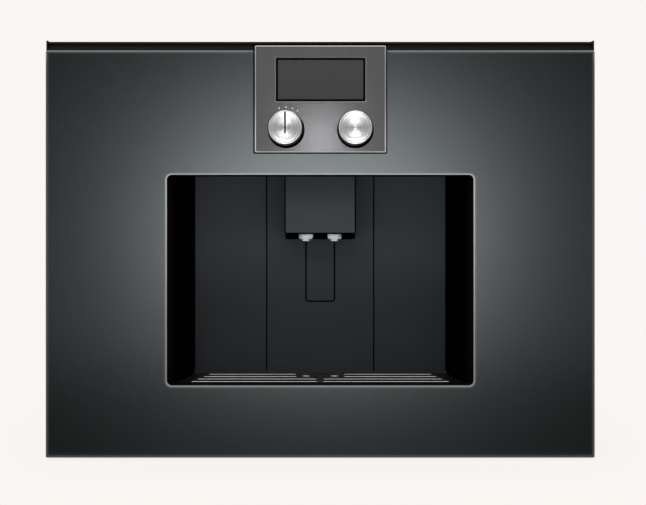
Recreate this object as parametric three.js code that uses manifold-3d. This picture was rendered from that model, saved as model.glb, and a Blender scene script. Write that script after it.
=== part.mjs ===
// A built-in coffee machine for a 450 mm high cabinet niche: a glass door with a control module, and behind it
// the cup niche with a height-adjustable outlet, drip tray, water tank, bean container, grinder and brew unit.
//
// Units are millimetres. +Z is up, the front faces -Y, and the origin is the centre of the underside.

import * as THREE from 'three';
import { mergeVertices } from 'three/addons/utils/BufferGeometryUtils.js';
import Module from 'manifold-3d';

const wasm = await Module();
wasm.setup();

// ---------------------------------------------------------------- driving dimensions

const FIT = 0.3; // gap between two pieces that touch
const RUNNING_GAP = 1; // gap round a piece that slides
const CUT_MARGIN = 2; // how far a cutting solid runs past the face it cuts
const JOIN_OVERLAP = 1; // how far solids that are joined run into each other
const MERGE_TOLERANCE = 1e-4; // corners closer than this are one corner

// Housing
const BODY_DEPTH = 356;
const BODY_HEIGHT = 447;
const SHEET = 1.2; // sheet steel
const PAN_FLANGE = 18;
const FASCIA_DEPTH = 8;
const FASCIA_RADIUS = 4;
const FASCIA_BEVEL = 1;
const PARTITION = 3; // walls of the inner chassis
const CHASSIS_FROM_BACK = 57.7; // back edge of the inner chassis to the back of the housing
const SIDE_VENT_COUNT = 7;
const REAR_VENT_COUNT = 8;
const TOP_VENT_COUNT = 6;
const VENT_SLOT = 5; // width of a vent slot
const VENT_LENGTH = 90;
const VENT_PITCH = 14;

// Door
const FRONT_WIDTH = 590;
const FRONT_OVERHANG = 16; // the door past the housing at each side
const DOOR_BELOW_TOP = 7.4; // upper edge of the door below the top of the housing
const DOOR_LIFT = 2; // lower edge of the door above the shelf
const DOOR_GAP = 2; // between the closed door and the housing
const GLASS_THICKNESS = 4;
const GLASS_BEVEL = 1;
const DOOR_CORNER_RADIUS = 1.5;
const DOOR_FRAME_DEPTH = 12.7;
const DOOR_COVER_THICKNESS = 1.7;
const DOOR_FRAME_INSET_LEFT = 7; // keeps the frame's edge clear of the housing as the door swings
const DOOR_FRAME_INSET = 3;
const DOOR_SKIN = 2.5;
const DOOR_RIB = 2;
const DOOR_CELLS_ACROSS = 8;
const DOOR_CELLS_UP = 6;
const TUNNEL_WALL = 2;
const SEAL_WIDTH = 5;
const SEAL_THICKNESS = 1.3;

// Hinge, on the left
const HINGE_FROM_EDGE = 12; // axis to the left edge of the glass
const HINGE_BEHIND_GLASS = 6.5; // axis behind the back of the glass
const HINGE_ARM_THICKNESS = 4;
const HINGE_ARM_RADIUS = 4;
const HINGE_ARM_WIDTH = 12;
const HINGE_ARM_LENGTH = 46; // inside the housing
const HINGE_ARM_FROM_EDGE = 14; // from the door's lower or upper edge to the arm
const HINGE_PIN_RADIUS = 2.2;
const HINGE_PIN_LENGTH = 22;
const HINGE_ARM_OFFSET = 8; // from the axis to the arm's leg inside the housing
const HINGE_POCKET = 24; // radius of the room in the door frame for the arm
const HINGE_BLOCK = 28; // solid corner of the door frame round the pin

// Vent strip above the door
const VENT_STRIP_HEIGHT = 9;
const VENT_STRIP_GAP = 0.4;
const VENT_STRIP_SETBACK = 4; // behind the glass front
const VENT_STRIP_LIP = 1.6;
const VENT_STRIP_CHANNEL = 4;
const VENT_STRIP_SLOTS = 12;
const LUG_WIDTH = 1.6;
const LUG_HEIGHT = 1.5;

// Cup niche
const NICHE_FROM_SIDE = 130.3; // side of the opening to the side of the glass
const NICHE_TAPER = 18.5; // each side wall leans in by this towards the back
const NICHE_DEPTH = 100; // behind the front of the glass
const NICHE_ABOVE_EDGE = 77.7; // floor of the niche above the door's lower edge
const NICHE_BELOW_MODULE = 22.7; // top of the niche below the control module
const NICHE_RADIUS = 5.4;
const LINER_WALL = 2;
const PANEL_THICKNESS = 2;
const PANEL_SEAM = 1.5;
const CENTRE_PANEL_HALF = 62.3;
const GROOVE_HALF = 16.5; // to the middle of the groove's width
const GROOVE_WIDTH = 1.9;
const GROOVE_BELOW_TOP = 145.6; // bottom of the U below the top of the niche

// Coffee outlet
const OUTLET_HALF = 38.6;
const OUTLET_SETBACK = 45; // front of the cover behind the glass
const OUTLET_TOP_GAP = 1.2;
const OUTLET_HEIGHT = 63.1;
const OUTLET_WALL = 2;
const OUTLET_RADIUS = 1;
const OUTLET_BEVEL = 0.5;
const NOZZLE_SETBACK = 65;
const NOZZLE_HALF_SPACING = 16.1;
const NOZZLE_RADIUS = 8.1;
const NOZZLE_TIP_RADIUS = 4.2;
const NOZZLE_HEIGHT = 6.6;
const NOZZLE_TIP_HEIGHT = 2.2;
const NOZZLE_FACETS = 12;
const NOZZLE_CHAMFER = 1.6; // across
const NOZZLE_CHAMFER_HEIGHT = 1.2;
const NOZZLE_TIP_CHAMFER = 1;
const NOZZLE_BORE_RADIUS = 1.4;
const CARRIAGE_HALF = 36;
const CARRIAGE_FOOT = 8.5; // how far the carriage reaches below the cover at its back
const CARRIAGE_FOOT_DEPTH = 20;
const BLOCK_DROP = 1.4; // block of the carriage below the cover
const RAIL_SHEET = 2;
const RAIL_DEPTH = 16;
const RAIL_FLANGE = 13;

// Control module on the door
const MODULE_WIDTH = 142;
const MODULE_HEIGHT = 116.4;
const MODULE_RISE = 6.1; // its upper edge above the door's
const MODULE_PROUD = 8;
const MODULE_WALL = 1.5;
const MODULE_RADIUS = 1.2;
const MODULE_BEVEL = 0.8;
const DISPLAY_WIDTH = 96;
const DISPLAY_HEIGHT = 47;
const DISPLAY_ABOVE_MODULE = 79; // centre above the module's lower edge
const DISPLAY_FRAME = 2.6;
const DISPLAY_DEPTH = 1.6;
const DISPLAY_RADIUS = 0.5;
const KNOB_RADIUS = 18.4;
const KNOB_LENGTH = 22;
const KNOB_GAP = 0.6; // between the knob and the module
const KNOB_BEVEL = 0.8;
const KNOB_WALL = 2.4;
const KNOB_BOSS_RADIUS = 6.5;
const KNOB_HALF_SPACING = 36.8;
const KNOB_ABOVE_MODULE = 25.6;
const KNOB_SHAFT_RADIUS = 3;
const POINTER_WIDTH = 1;
const POINTER_DEPTH = 0.5;
const POINTER_TAIL = 6.4; // how far the pointer line runs past the knob's centre
const ENCODER_SIZE = 14;
const BOARD_THICKNESS = 1.6;
const BOARD_WIDTH = 118;
const BOARD_HEIGHT = 100;
const BOARD_ABOVE_MODULE = 7;
const CABLE_HOLE_WIDTH = 30;
const CABLE_HOLE_HEIGHT = 12;
const CABLE_HOLE_RADIUS = 4;

// Drawers behind the door
const BAY_LIP = 4; // fascia between two openings
const DRAWER_FACE = 3; // thickness of a drawer's front
const DRAWER_SETBACK = 2; // drawer fronts behind the front of the fascia
const GRIP_RADIUS = 14;
const GRIP_DEPTH = 1.8;
const DRAWER_BEVEL = 0.6;
const BIN_RADIUS = 7; // upright corners of the containers

const TRAY_INSET = 16.7; // left end of the tray inside the niche's front corner
const TRAY_FROM_SIDE = 11; // right end of the tray to the side of the housing
const TRAY_BOTTOM = 5;
const TRAY_WALL = 2.4;
const TRAY_DEPTH = 190;
const DECK_THICKNESS = 4;
const DECK_RAISED = 2; // deck face below the grid's top
const DECK_SIDE_GAP = 1;
const TRAY_RUNNER_WIDTH = 12;
const TRAY_RUNNER_INSET = 10;
const GROUNDS_WALL = 2;
const GROUNDS_WIDTH = 92;
const GROUNDS_DEPTH = 150;
const GROUNDS_HEIGHT = 62;

const GRID_INSET = 4.7; // front corner of the grid inside the niche's back corner
const GRID_TAPER = 13.5; // each side rail leans in by this towards the back
const GRID_FRONT_SETBACK = 24.5; // front bar behind the glass
const GRID_BACK_SETBACK = 74.5; // back bar behind the glass
const GRID_BAR_COUNT = 4;
const GRID_BAR = 2.2;
const GRID_BAR_HEIGHT = 4;
const GRID_SPINE = 8.3;
const DISH_RADIUS = 13.5;
const DISH_CENTRE_RADIUS = 5.5;
const DISH_HEIGHT = 3;
const DISH_RIM = 1.5;
const DISH_RAMP = 2; // across, from the floor of the dish to its raised centre
const DISH_CENTRE_DROP = 0.2; // top of the raised centre below the rim

const DRAWER_ROW_HEIGHT = 112; // tank and bean container above the niche
const TANK_FROM_SIDE = 167; // to the left side of the housing
const TANK_DEPTH = 172;
const TANK_WALL = 2.2;
const VALVE_RADIUS = 9;
const VALVE_LENGTH = 6;
const VALVE_STUB_RADIUS = 4.5;
const VALVE_BORE_RADIUS = 2.25;

const BEAN_FROM_SIDE = 120; // to the right side of the housing
const BEAN_WIDTH = 106;
const BEAN_DEPTH = 150;
const BEAN_WALL = 2.2;
const BEAN_THROAT = 34;

const BREW_WIDTH = 92;
const BREW_BOTTOM = 92;
const BREW_BELOW_SHELF = 20.9; // room for the chute
const BREW_DEPTH = 240;
const BREW_WALL = 3;
const BREW_BAND = 14; // solid bands of the side walls round their windows
const CYLINDER_RADIUS = 26;
const CYLINDER_WALL = 4;
const CYLINDER_HEIGHT = 74;
const DROP_HOLE_AHEAD = 80; // hole for the spent coffee in front of the cylinder
const DROP_HOLE_INSET = 14; // side of the hole in the chassis inside the brew unit
const PISTON_RADIUS = 21;
const PISTON_ROD_RADIUS = 7;
const PISTON_HEIGHT = 16;
const LEVER_LENGTH = 44;
const LEVER_WIDTH = 12;
const LEVER_TIP_WIDTH = 8;
const LEVER_THICKNESS = 4;
const LEVER_HUB_RADIUS = 9;
const LEVER_PIVOT_RADIUS = 4;
const LEVER_BELOW_TOP = 78; // pivot below the top of the brew unit

// Machinery
const GRINDER_SIZE = 78;
const GRINDER_RADIUS = 14;
const GRINDER_MOUTH = 16; // square hole towards the chute
const GRINDER_MOTOR_RADIUS = 26;
const GRINDER_MOTOR_LENGTH = 52;
const MOTOR_BOSS_RADIUS = 8.5;
const MOTOR_BOSS_LENGTH = 4;
const CHUTE_WIDTH = 30;
const CHUTE_WALL = 2;
const CHUTE_DROP = 26;
const DIAL_RADIUS = 15;
const DIAL_THICKNESS = 6;
const DIAL_KNURLS = 20;
const DIAL_KNURL_RADIUS = 1;
const DIAL_SLOT_WIDTH = 3;
const DIAL_SLOT_LENGTH = 21;
const DIAL_FROM_EDGE = 55; // to the right edge of the housing
const DIAL_ABOVE_ROW = 84;
const ROCKER_WIDTH = 20;
const ROCKER_HEIGHT = 13;
const ROCKER_FACE = 3; // from the rocker's axis to its face
const ROCKER_DIP = 1; // depth of the shallow V in its face
const ROCKER_TILT = 7; // degrees
const ROCKER_ABOVE_ROW = 34;
const SWITCH_WALL = 2;
const SWITCH_DEPTH = 14;
const CATCH_FROM_EDGE = 9; // to the right edge of the housing
const CATCH_WIDTH = 12;
const CATCH_HEIGHT = 40;
const CATCH_MAGNET_DEPTH = 6;
const PUMP_RADIUS = 17;
const PUMP_LENGTH = 92;
const PUMP_BLOCK = 48;
const HOSE_RADIUS = 5.5; // stub for a hose
const HOSE_STUB_LENGTH = 17;
const BOILER_WIDTH = 74;
const BOILER_DEPTH = 110;
const BOILER_HEIGHT = 46;
const BOILER_FINS = 7;
const BOILER_FIN_DEPTH = 15;
const BOILER_PORT = 14;
const BOILER_Z = 150;
const CONTROL_BOARD_WIDTH = 138;
const CONTROL_BOARD_DEPTH = 170;
const STANDOFF = 8;
const STANDOFF_RADIUS = 4;
const COMPONENT_INSET = 16; // transformer and relays to the edges of the control board
const TRANSFORMER_SIZE = 40;
const TRANSFORMER_HEIGHT = 32;
const RELAY_COUNT = 3;
const RELAY_SIZE = 16;
const RELAY_PITCH = 24;
const INLET_WIDTH = 48;
const INLET_HEIGHT = 28;
const INLET_DEPTH = 22;
const INLET_COLLAR = 3;
const INLET_RIM = 6;
const INLET_PIN_SETBACK = 8; // tips of the pins behind the rim
const INLET_PIN = 2; // thickness of a pin
const INLET_PIN_PITCH = 7;
const INLET_PIN_RAISE = 2; // the middle pin above the inlet's centre, the outer ones below it
const INLET_FROM_EDGE = 65;
const INLET_Z = 60;

const ARC = 5; // segments in a quarter of a small arc

// ---------------------------------------------------------------- derived planes and sizes

const HALF_FRONT = FRONT_WIDTH / 2;
const HALF_BODY = HALF_FRONT - FRONT_OVERHANG;
const BODY_FRONT = -BODY_DEPTH / 2;
const BODY_BACK = BODY_DEPTH / 2;
const COVER_BACK = BODY_FRONT - DOOR_GAP;
const COVER_FRONT = COVER_BACK - DOOR_COVER_THICKNESS;
const FRAME_BACK = COVER_FRONT - FIT;
const FRAME_FRONT = FRAME_BACK - DOOR_FRAME_DEPTH;
const GLASS_BACK = FRAME_FRONT - FIT;
const GLASS_FRONT = GLASS_BACK - GLASS_THICKNESS;
const DOOR_TOP = BODY_HEIGHT - DOOR_BELOW_TOP;
const DOOR_MIDDLE = (DOOR_LIFT + DOOR_TOP) / 2;
const HINGE_X = -HALF_FRONT + HINGE_FROM_EDGE;
const HINGE_Y = GLASS_BACK + HINGE_BEHIND_GLASS;
const FASCIA_BACK = BODY_FRONT + FASCIA_DEPTH;
const PANEL_FRONT = FASCIA_BACK + FIT;
const MODULE_TOP = DOOR_TOP + MODULE_RISE;
const MODULE_BOTTOM = MODULE_TOP - MODULE_HEIGHT;
const NICHE_HALF_FRONT = HALF_FRONT - NICHE_FROM_SIDE;
const NICHE_HALF_BACK = NICHE_HALF_FRONT - NICHE_TAPER;
const NICHE_FLOOR = DOOR_LIFT + NICHE_ABOVE_EDGE;
const NICHE_TOP = MODULE_BOTTOM - NICHE_BELOW_MODULE;
const GROOVE_BOTTOM = NICHE_TOP - GROOVE_BELOW_TOP;
const NICHE_BACK = GLASS_FRONT + NICHE_DEPTH;
const LINER_BACK = NICHE_BACK + PANEL_THICKNESS + FIT + LINER_WALL;
const OUTLET_FRONT = GLASS_FRONT + OUTLET_SETBACK;
const OUTLET_TOP = NICHE_TOP - OUTLET_TOP_GAP;
const OUTLET_BOTTOM = OUTLET_TOP - OUTLET_HEIGHT;
const OUTLET_BACK = NICHE_BACK - RUNNING_GAP;
const NOZZLE_Y = GLASS_FRONT + NOZZLE_SETBACK;
const CARRIAGE_FRONT = LINER_BACK + RUNNING_GAP;
const SHELF_BOTTOM = NICHE_TOP + LINER_WALL + FIT;
const SHELF_TOP = SHELF_BOTTOM + PARTITION;
const CHASSIS_BACK = BODY_BACK - CHASSIS_FROM_BACK;
const DRAWER_FRONT = BODY_FRONT + DRAWER_SETBACK;
const MODULE_BACK = GLASS_FRONT - FIT;
const MODULE_FRONT = MODULE_BACK - MODULE_PROUD;
const MODULE_MIDDLE = (MODULE_BOTTOM + MODULE_TOP) / 2;
const DISPLAY_Z = MODULE_BOTTOM + DISPLAY_ABOVE_MODULE;
const KNOB_Z = MODULE_BOTTOM + KNOB_ABOVE_MODULE;
const KNOB_BACK = MODULE_FRONT - KNOB_GAP;
const ENCODER_FRONT = MODULE_FRONT + MODULE_WALL + FIT;
const BOARD_BOTTOM = MODULE_BOTTOM + BOARD_ABOVE_MODULE;
const PAN_TOP = SHEET + FIT;

// Half the width of the tapered niche at depth y
function nicheHalf(y) {
  const share = (y - GLASS_FRONT) / NICHE_DEPTH;
  return NICHE_HALF_FRONT + (NICHE_HALF_BACK - NICHE_HALF_FRONT) * share;
}

// ---------------------------------------------------------------- geometry helpers

// A closed solid from a three.js geometry, with shared vertices merged
function solid(geometry) {
  const plain = geometry.clone();
  plain.deleteAttribute('normal');
  plain.deleteAttribute('uv');
  const merged = mergeVertices(plain, MERGE_TOLERANCE);
  return new wasm.Manifold(new wasm.Mesh({
    numProp: 3,
    vertProperties: new Float32Array(merged.attributes.position.array),
    triVerts: new Uint32Array(merged.index.array),
  }));
}

// Joins solids that overlap
function join(parts) {
  return parts.reduce((whole, part) => whole.add(part));
}

// Cuts every tool out of the blank
function cut(blank, tools) {
  return tools.reduce((left, tool) => left.subtract(tool), blank);
}

// A box between two corners
function box([x0, x1], [y0, y1], [z0, z1]) {
  const geometry = new THREE.BoxGeometry(x1 - x0, y1 - y0, z1 - z0);
  geometry.translate((x0 + x1) / 2, (y0 + y1) / 2, (z0 + z1) / 2);
  return solid(geometry);
}

// A rectangle with rounded corners, from its two spans
function roundedRectangle([a0, a1], [b0, b1], radius) {
  const shape = new THREE.Shape();
  shape.moveTo(a0 + radius, b0);
  shape.lineTo(a1 - radius, b0);
  shape.absarc(a1 - radius, b0 + radius, radius, -Math.PI / 2, 0);
  shape.lineTo(a1, b1 - radius);
  shape.absarc(a1 - radius, b1 - radius, radius, 0, Math.PI / 2);
  shape.lineTo(a0 + radius, b1);
  shape.absarc(a0 + radius, b1 - radius, radius, Math.PI / 2, Math.PI);
  shape.lineTo(a0, b0 + radius);
  shape.absarc(a0 + radius, b0 + radius, radius, Math.PI, 1.5 * Math.PI);
  return shape;
}

// A straight-sided outline
function outline(points) {
  return new THREE.Shape(points.map(([a, b]) => new THREE.Vector2(a, b)));
}

function extruded(shape, depth, bevel) {
  return new THREE.ExtrudeGeometry(shape, {
    depth: depth - bevel,
    bevelEnabled: bevel > 0,
    bevelThickness: bevel,
    bevelSize: bevel,
    bevelOffset: -bevel,
    bevelSegments: 1,
    curveSegments: ARC,
  });
}

// A plate drawn in the front view (x, z) between two planes; only its front edge is bevelled
function frontPlate(shape, back, front, bevel = 0) {
  const geometry = extruded(shape, back - front, bevel);
  geometry.rotateX(Math.PI / 2);
  geometry.translate(0, back, 0);
  const behind = box([-FRONT_WIDTH, FRONT_WIDTH], [back, back + CUT_MARGIN], [-BODY_HEIGHT, 2 * BODY_HEIGHT]);
  return bevel > 0 ? solid(geometry).subtract(behind) : solid(geometry);
}

// A prism drawn in plan (x, y), from z0 up to z1
function upright(shape, z0, z1) {
  const geometry = extruded(shape, z1 - z0, 0);
  geometry.translate(0, 0, z0);
  return solid(geometry);
}

// A prism drawn in the side view (y, z), from x0 to x1
function crosswise(shape, x0, x1) {
  const geometry = extruded(shape, x1 - x0, 0);
  const swap = new THREE.Matrix4().makeBasis(
    new THREE.Vector3(0, 1, 0),
    new THREE.Vector3(0, 0, 1),
    new THREE.Vector3(1, 0, 0),
  );
  geometry.applyMatrix4(swap);
  geometry.translate(x0, 0, 0);
  return solid(geometry);
}

// A cylinder whose axis runs front to back
function frontCylinder(x, z, radius, back, front, segments = 4 * ARC) {
  const geometry = new THREE.CylinderGeometry(radius, radius, back - front, segments);
  geometry.translate(x, (back + front) / 2, z);
  return solid(geometry);
}

function uprightCylinder(x, y, radius, z0, z1, segments = 4 * ARC) {
  const geometry = new THREE.CylinderGeometry(radius, radius, z1 - z0, segments);
  geometry.rotateX(Math.PI / 2);
  geometry.translate(x, y, (z0 + z1) / 2);
  return solid(geometry);
}

// A turned solid from a profile of (radius, height) points, about the upright axis through the origin
function turned(points, segments = 4 * ARC) {
  const profile = points.map(([radius, height]) => new THREE.Vector2(radius, height));
  const geometry = new THREE.LatheGeometry(profile, segments);
  geometry.rotateX(Math.PI / 2);
  return solid(geometry);
}

// Copies of a solid moved by each offset
function copies(piece, offsets) {
  return offsets.map((offset) => piece.translate(offset));
}

// Evenly spaced numbers centred on middle
function spaced(count, pitch, middle = 0) {
  return Array.from({ length: count }, (_, index) => middle + (index - (count - 1) / 2) * pitch);
}

// A prism that follows the tapered niche in plan, its sides grow outside the niche wall
function nichePrism(yFront, yBack, z0, z1, grow = 0) {
  const plan = outline([
    [-nicheHalf(yFront) - grow, yFront],
    [nicheHalf(yFront) + grow, yFront],
    [nicheHalf(yBack) + grow, yBack],
    [-nicheHalf(yBack) - grow, yBack],
  ]);
  return upright(plan, z0, z1);
}

// ---------------------------------------------------------------- finishes and the scene graph

const finishes = {
  steel: { color: 0xa8abad, roughness: 0.45, metalness: 0.9 },
  brushedSteel: { color: 0x9b9da0, roughness: 0.35, metalness: 1 },
  chrome: { color: 0xd8dadc, roughness: 0.12, metalness: 1 },
  anthraciteGlass: { color: 0x44484a, roughness: 0.22, metalness: 0.4 },
  blackGlass: { color: 0x3c4042, roughness: 0.1, metalness: 0 },
  blackPlastic: { color: 0x17181a, roughness: 0.55, metalness: 0 },
  darkPlastic: { color: 0x2c2e31, roughness: 0.5, metalness: 0 },
  greyPlastic: { color: 0x6d7073, roughness: 0.55, metalness: 0 },
  clearPlastic: { color: 0xb9c4c8, roughness: 0.15, metalness: 0 },
  aluminium: { color: 0xb8babc, roughness: 0.5, metalness: 0.9 },
  rubber: { color: 0x141414, roughness: 0.85, metalness: 0 },
  board: { color: 0x1f4a34, roughness: 0.6, metalness: 0 },
};

const machine = new THREE.Group();

// Adds a named mesh to a group; the group or the mesh's position places it
function addPiece(group, name, piece, finish, position = [0, 0, 0]) {
  const mesh = piece.getMesh();
  const geometry = new THREE.BufferGeometry();
  geometry.setAttribute('position', new THREE.BufferAttribute(new Float32Array(mesh.vertProperties), 3));
  geometry.setIndex(new THREE.BufferAttribute(new Uint32Array(mesh.triVerts), 1));
  geometry.computeVertexNormals();
  const named = new THREE.Mesh(geometry, new THREE.MeshStandardMaterial(finish));
  named.name = name;
  named.position.set(...position);
  group.add(named);
}

function addGroup(parent) {
  const group = new THREE.Group();
  parent.add(group);
  return group;
}

// ---------------------------------------------------------------- sizes shared by the drawers and the housing

const LINER_HALF_FRONT = nicheHalf(BODY_FRONT) + LINER_WALL + FIT;
const PARTITION_INNER = nicheHalf(PANEL_FRONT) + LINER_WALL + FIT;
const FACE_BACK = DRAWER_FRONT + DRAWER_FACE;
const DRAWER_BODY_FRONT = FACE_BACK + FIT;
const DECK_TOP = NICHE_FLOOR - DECK_RAISED;
const DECK_BOTTOM = DECK_TOP - DECK_THICKNESS;
const TRAY_TOP = DECK_BOTTOM - FIT;
const LINER_BOTTOM = TRAY_TOP + RUNNING_GAP;
const DRAWER_ROW_BOTTOM = SHELF_TOP + FIT;
const DRAWER_ROW_TOP = DRAWER_ROW_BOTTOM + DRAWER_ROW_HEIGHT;
const TRAY_LEFT = -NICHE_HALF_FRONT + TRAY_INSET;
const TRAY_RIGHT = HALF_BODY - TRAY_FROM_SIDE;
const BEAN_RIGHT = HALF_BODY - BEAN_FROM_SIDE;
const BEAN_LEFT = BEAN_RIGHT - BEAN_WIDTH;
const TANK_LEFT = -HALF_BODY + TANK_FROM_SIDE;
const TANK_RIGHT = BEAN_LEFT - 2 * RUNNING_GAP - PARTITION;
const BREW_LEFT = LINER_HALF_FRONT + BAY_LIP + RUNNING_GAP;
const BREW_RIGHT = BREW_LEFT + BREW_WIDTH;
const BREW_TOP = SHELF_BOTTOM - BREW_BELOW_SHELF;
const BREW_MIDDLE = (BREW_BOTTOM + BREW_TOP) / 2;
const BREW_X = (BREW_LEFT + BREW_RIGHT) / 2;
const GRINDER_FRONT = DRAWER_BODY_FRONT + BEAN_DEPTH + RUNNING_GAP;
const GRINDER_X = (BEAN_LEFT + BEAN_RIGHT) / 2;
const GRINDER_RIGHT = GRINDER_X + GRINDER_SIZE / 2;
const GRINDER_MIDDLE_Y = GRINDER_FRONT + GRINDER_SIZE / 2;
const BREW_FRONT = BODY_FRONT + LEVER_THICKNESS + FIT;
const THROAT_Z = DRAWER_ROW_BOTTOM + BEAN_WALL + BEAN_THROAT / 2;
const THROAT_RADIUS = BEAN_THROAT / 2 - BEAN_WALL;
const CYLINDER_Y = GRINDER_MIDDLE_Y;
const DROP_Y = CYLINDER_Y - DROP_HOLE_AHEAD;
const LEVER_Z = BREW_TOP - LEVER_BELOW_TOP;
const GROUNDS_LEFT = TRAY_RIGHT - TRAY_WALL - FIT - GROUNDS_WIDTH;
const GRID_HALF_FRONT = NICHE_HALF_BACK - GRID_INSET;
const GRID_HALF_BACK = GRID_HALF_FRONT - GRID_TAPER;
const GRID_FRONT_Y = GLASS_FRONT + GRID_FRONT_SETBACK;
const GRID_BACK_Y = GLASS_FRONT + GRID_BACK_SETBACK;
const GRID_BOTTOM = NICHE_FLOOR - GRID_BAR_HEIGHT;
const DIAL_X = HALF_BODY - DIAL_FROM_EDGE;
const DIAL_Z = DRAWER_ROW_BOTTOM + DIAL_ABOVE_ROW;
const ROCKER_Y = BODY_FRONT + ROCKER_FACE + RUNNING_GAP;
const ROCKER_Z = DRAWER_ROW_BOTTOM + ROCKER_ABOVE_ROW;
const ROCKER_X = DIAL_X;
const CATCH_X = HALF_BODY - CATCH_FROM_EDGE;
const INLET_X = -HALF_BODY + INLET_FROM_EDGE;

// The openings of the fascia, as spans in x and z
const BAYS = {
  tray: [[TRAY_LEFT, TRAY_RIGHT], [TRAY_BOTTOM, TRAY_TOP]],
  tank: [[TANK_LEFT, TANK_RIGHT], [DRAWER_ROW_BOTTOM, DRAWER_ROW_TOP]],
  beans: [[BEAN_LEFT, BEAN_RIGHT], [DRAWER_ROW_BOTTOM, DRAWER_ROW_TOP]],
  brew: [[BREW_LEFT, BREW_RIGHT], [BREW_BOTTOM, BREW_TOP]],
};

const HINGE_ARMS = {
  lower: DOOR_LIFT + HINGE_ARM_FROM_EDGE,
  upper: DOOR_TOP - HINGE_ARM_FROM_EDGE - HINGE_ARM_THICKNESS,
};

// ---------------------------------------------------------------- housing

// Flat sheet tray with flanges turned up at both sides and the back, open at the front for the drawers
function makeBasePan() {
  const half = HALF_BODY - SHEET - FIT;
  const back = BODY_BACK - SHEET - FIT;
  const blank = box([-half, half], [PANEL_FRONT, back], [0, SHEET + PAN_FLANGE]);
  const inside = box(
    [-half + SHEET, half - SHEET],
    [PANEL_FRONT - CUT_MARGIN, back - SHEET],
    [SHEET, SHEET + PAN_FLANGE + CUT_MARGIN],
  );
  const slot = box(
    [-VENT_LENGTH / 2, VENT_LENGTH / 2],
    [-VENT_SLOT / 2, VENT_SLOT / 2],
    [-CUT_MARGIN, SHEET + CUT_MARGIN],
  );
  const rows = spaced(REAR_VENT_COUNT / 2, VENT_PITCH, BODY_BACK / 2);
  const slots = rows.flatMap((y) => copies(slot, [[-HALF_BODY / 2, y, 0], [HALF_BODY / 2, y, 0]]));
  return cut(blank, [inside, ...slots]);
}

// Side panel with a row of upright vent slots high at the back; side is -1 for left, 1 for right
function makeSidePanel(side) {
  const faces = [side * (HALF_BODY - SHEET), side * HALF_BODY].sort((a, b) => a - b);
  const top = BODY_HEIGHT - SHEET - FIT;
  const blank = box(faces, [PANEL_FRONT, BODY_BACK], [FIT, top]);
  const slot = box(
    [faces[0] - CUT_MARGIN, faces[1] + CUT_MARGIN],
    [-VENT_SLOT / 2, VENT_SLOT / 2],
    [-VENT_LENGTH / 2, VENT_LENGTH / 2],
  );
  const places = spaced(SIDE_VENT_COUNT, VENT_PITCH, BODY_BACK / 2);
  return cut(blank, copies(slot, places.map((y) => [0, y, top - VENT_LENGTH])));
}

// Rear panel with vent slots and the cut-out for the power inlet
function makeRearPanel() {
  const half = HALF_BODY - SHEET - FIT;
  const blank = box([-half, half], [BODY_BACK - SHEET, BODY_BACK], [FIT, BODY_HEIGHT - SHEET - FIT]);
  const depth = [BODY_BACK - SHEET - CUT_MARGIN, BODY_BACK + CUT_MARGIN];
  const slot = box([-VENT_LENGTH / 2, VENT_LENGTH / 2], depth, [-VENT_SLOT / 2, VENT_SLOT / 2]);
  const rows = spaced(REAR_VENT_COUNT, VENT_PITCH, BODY_HEIGHT - VENT_LENGTH);
  const slots = rows.flatMap((z) => copies(slot, [[-HALF_BODY / 2, 0, z], [HALF_BODY / 2, 0, z]]));
  const inlet = box(
    [INLET_X - INLET_WIDTH / 2 - FIT, INLET_X + INLET_WIDTH / 2 + FIT],
    depth,
    [INLET_Z - INLET_HEIGHT / 2 - FIT, INLET_Z + INLET_HEIGHT / 2 + FIT],
  );
  return cut(blank, [...slots, inlet]);
}

// Top panel with vent slots behind the grinder
function makeTopPanel() {
  const blank = box([-HALF_BODY, HALF_BODY], [PANEL_FRONT, BODY_BACK], [BODY_HEIGHT - SHEET, BODY_HEIGHT]);
  const slot = box(
    [-VENT_LENGTH / 2, VENT_LENGTH / 2],
    [-VENT_SLOT / 2, VENT_SLOT / 2],
    [BODY_HEIGHT - SHEET - CUT_MARGIN, BODY_HEIGHT + CUT_MARGIN],
  );
  const rows = spaced(TOP_VENT_COUNT, VENT_PITCH, BODY_BACK / 2);
  const slots = rows.flatMap((y) => copies(slot, [[-HALF_BODY / 2, y, 0], [HALF_BODY / 2, y, 0]]));
  return cut(blank, slots);
}

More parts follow.
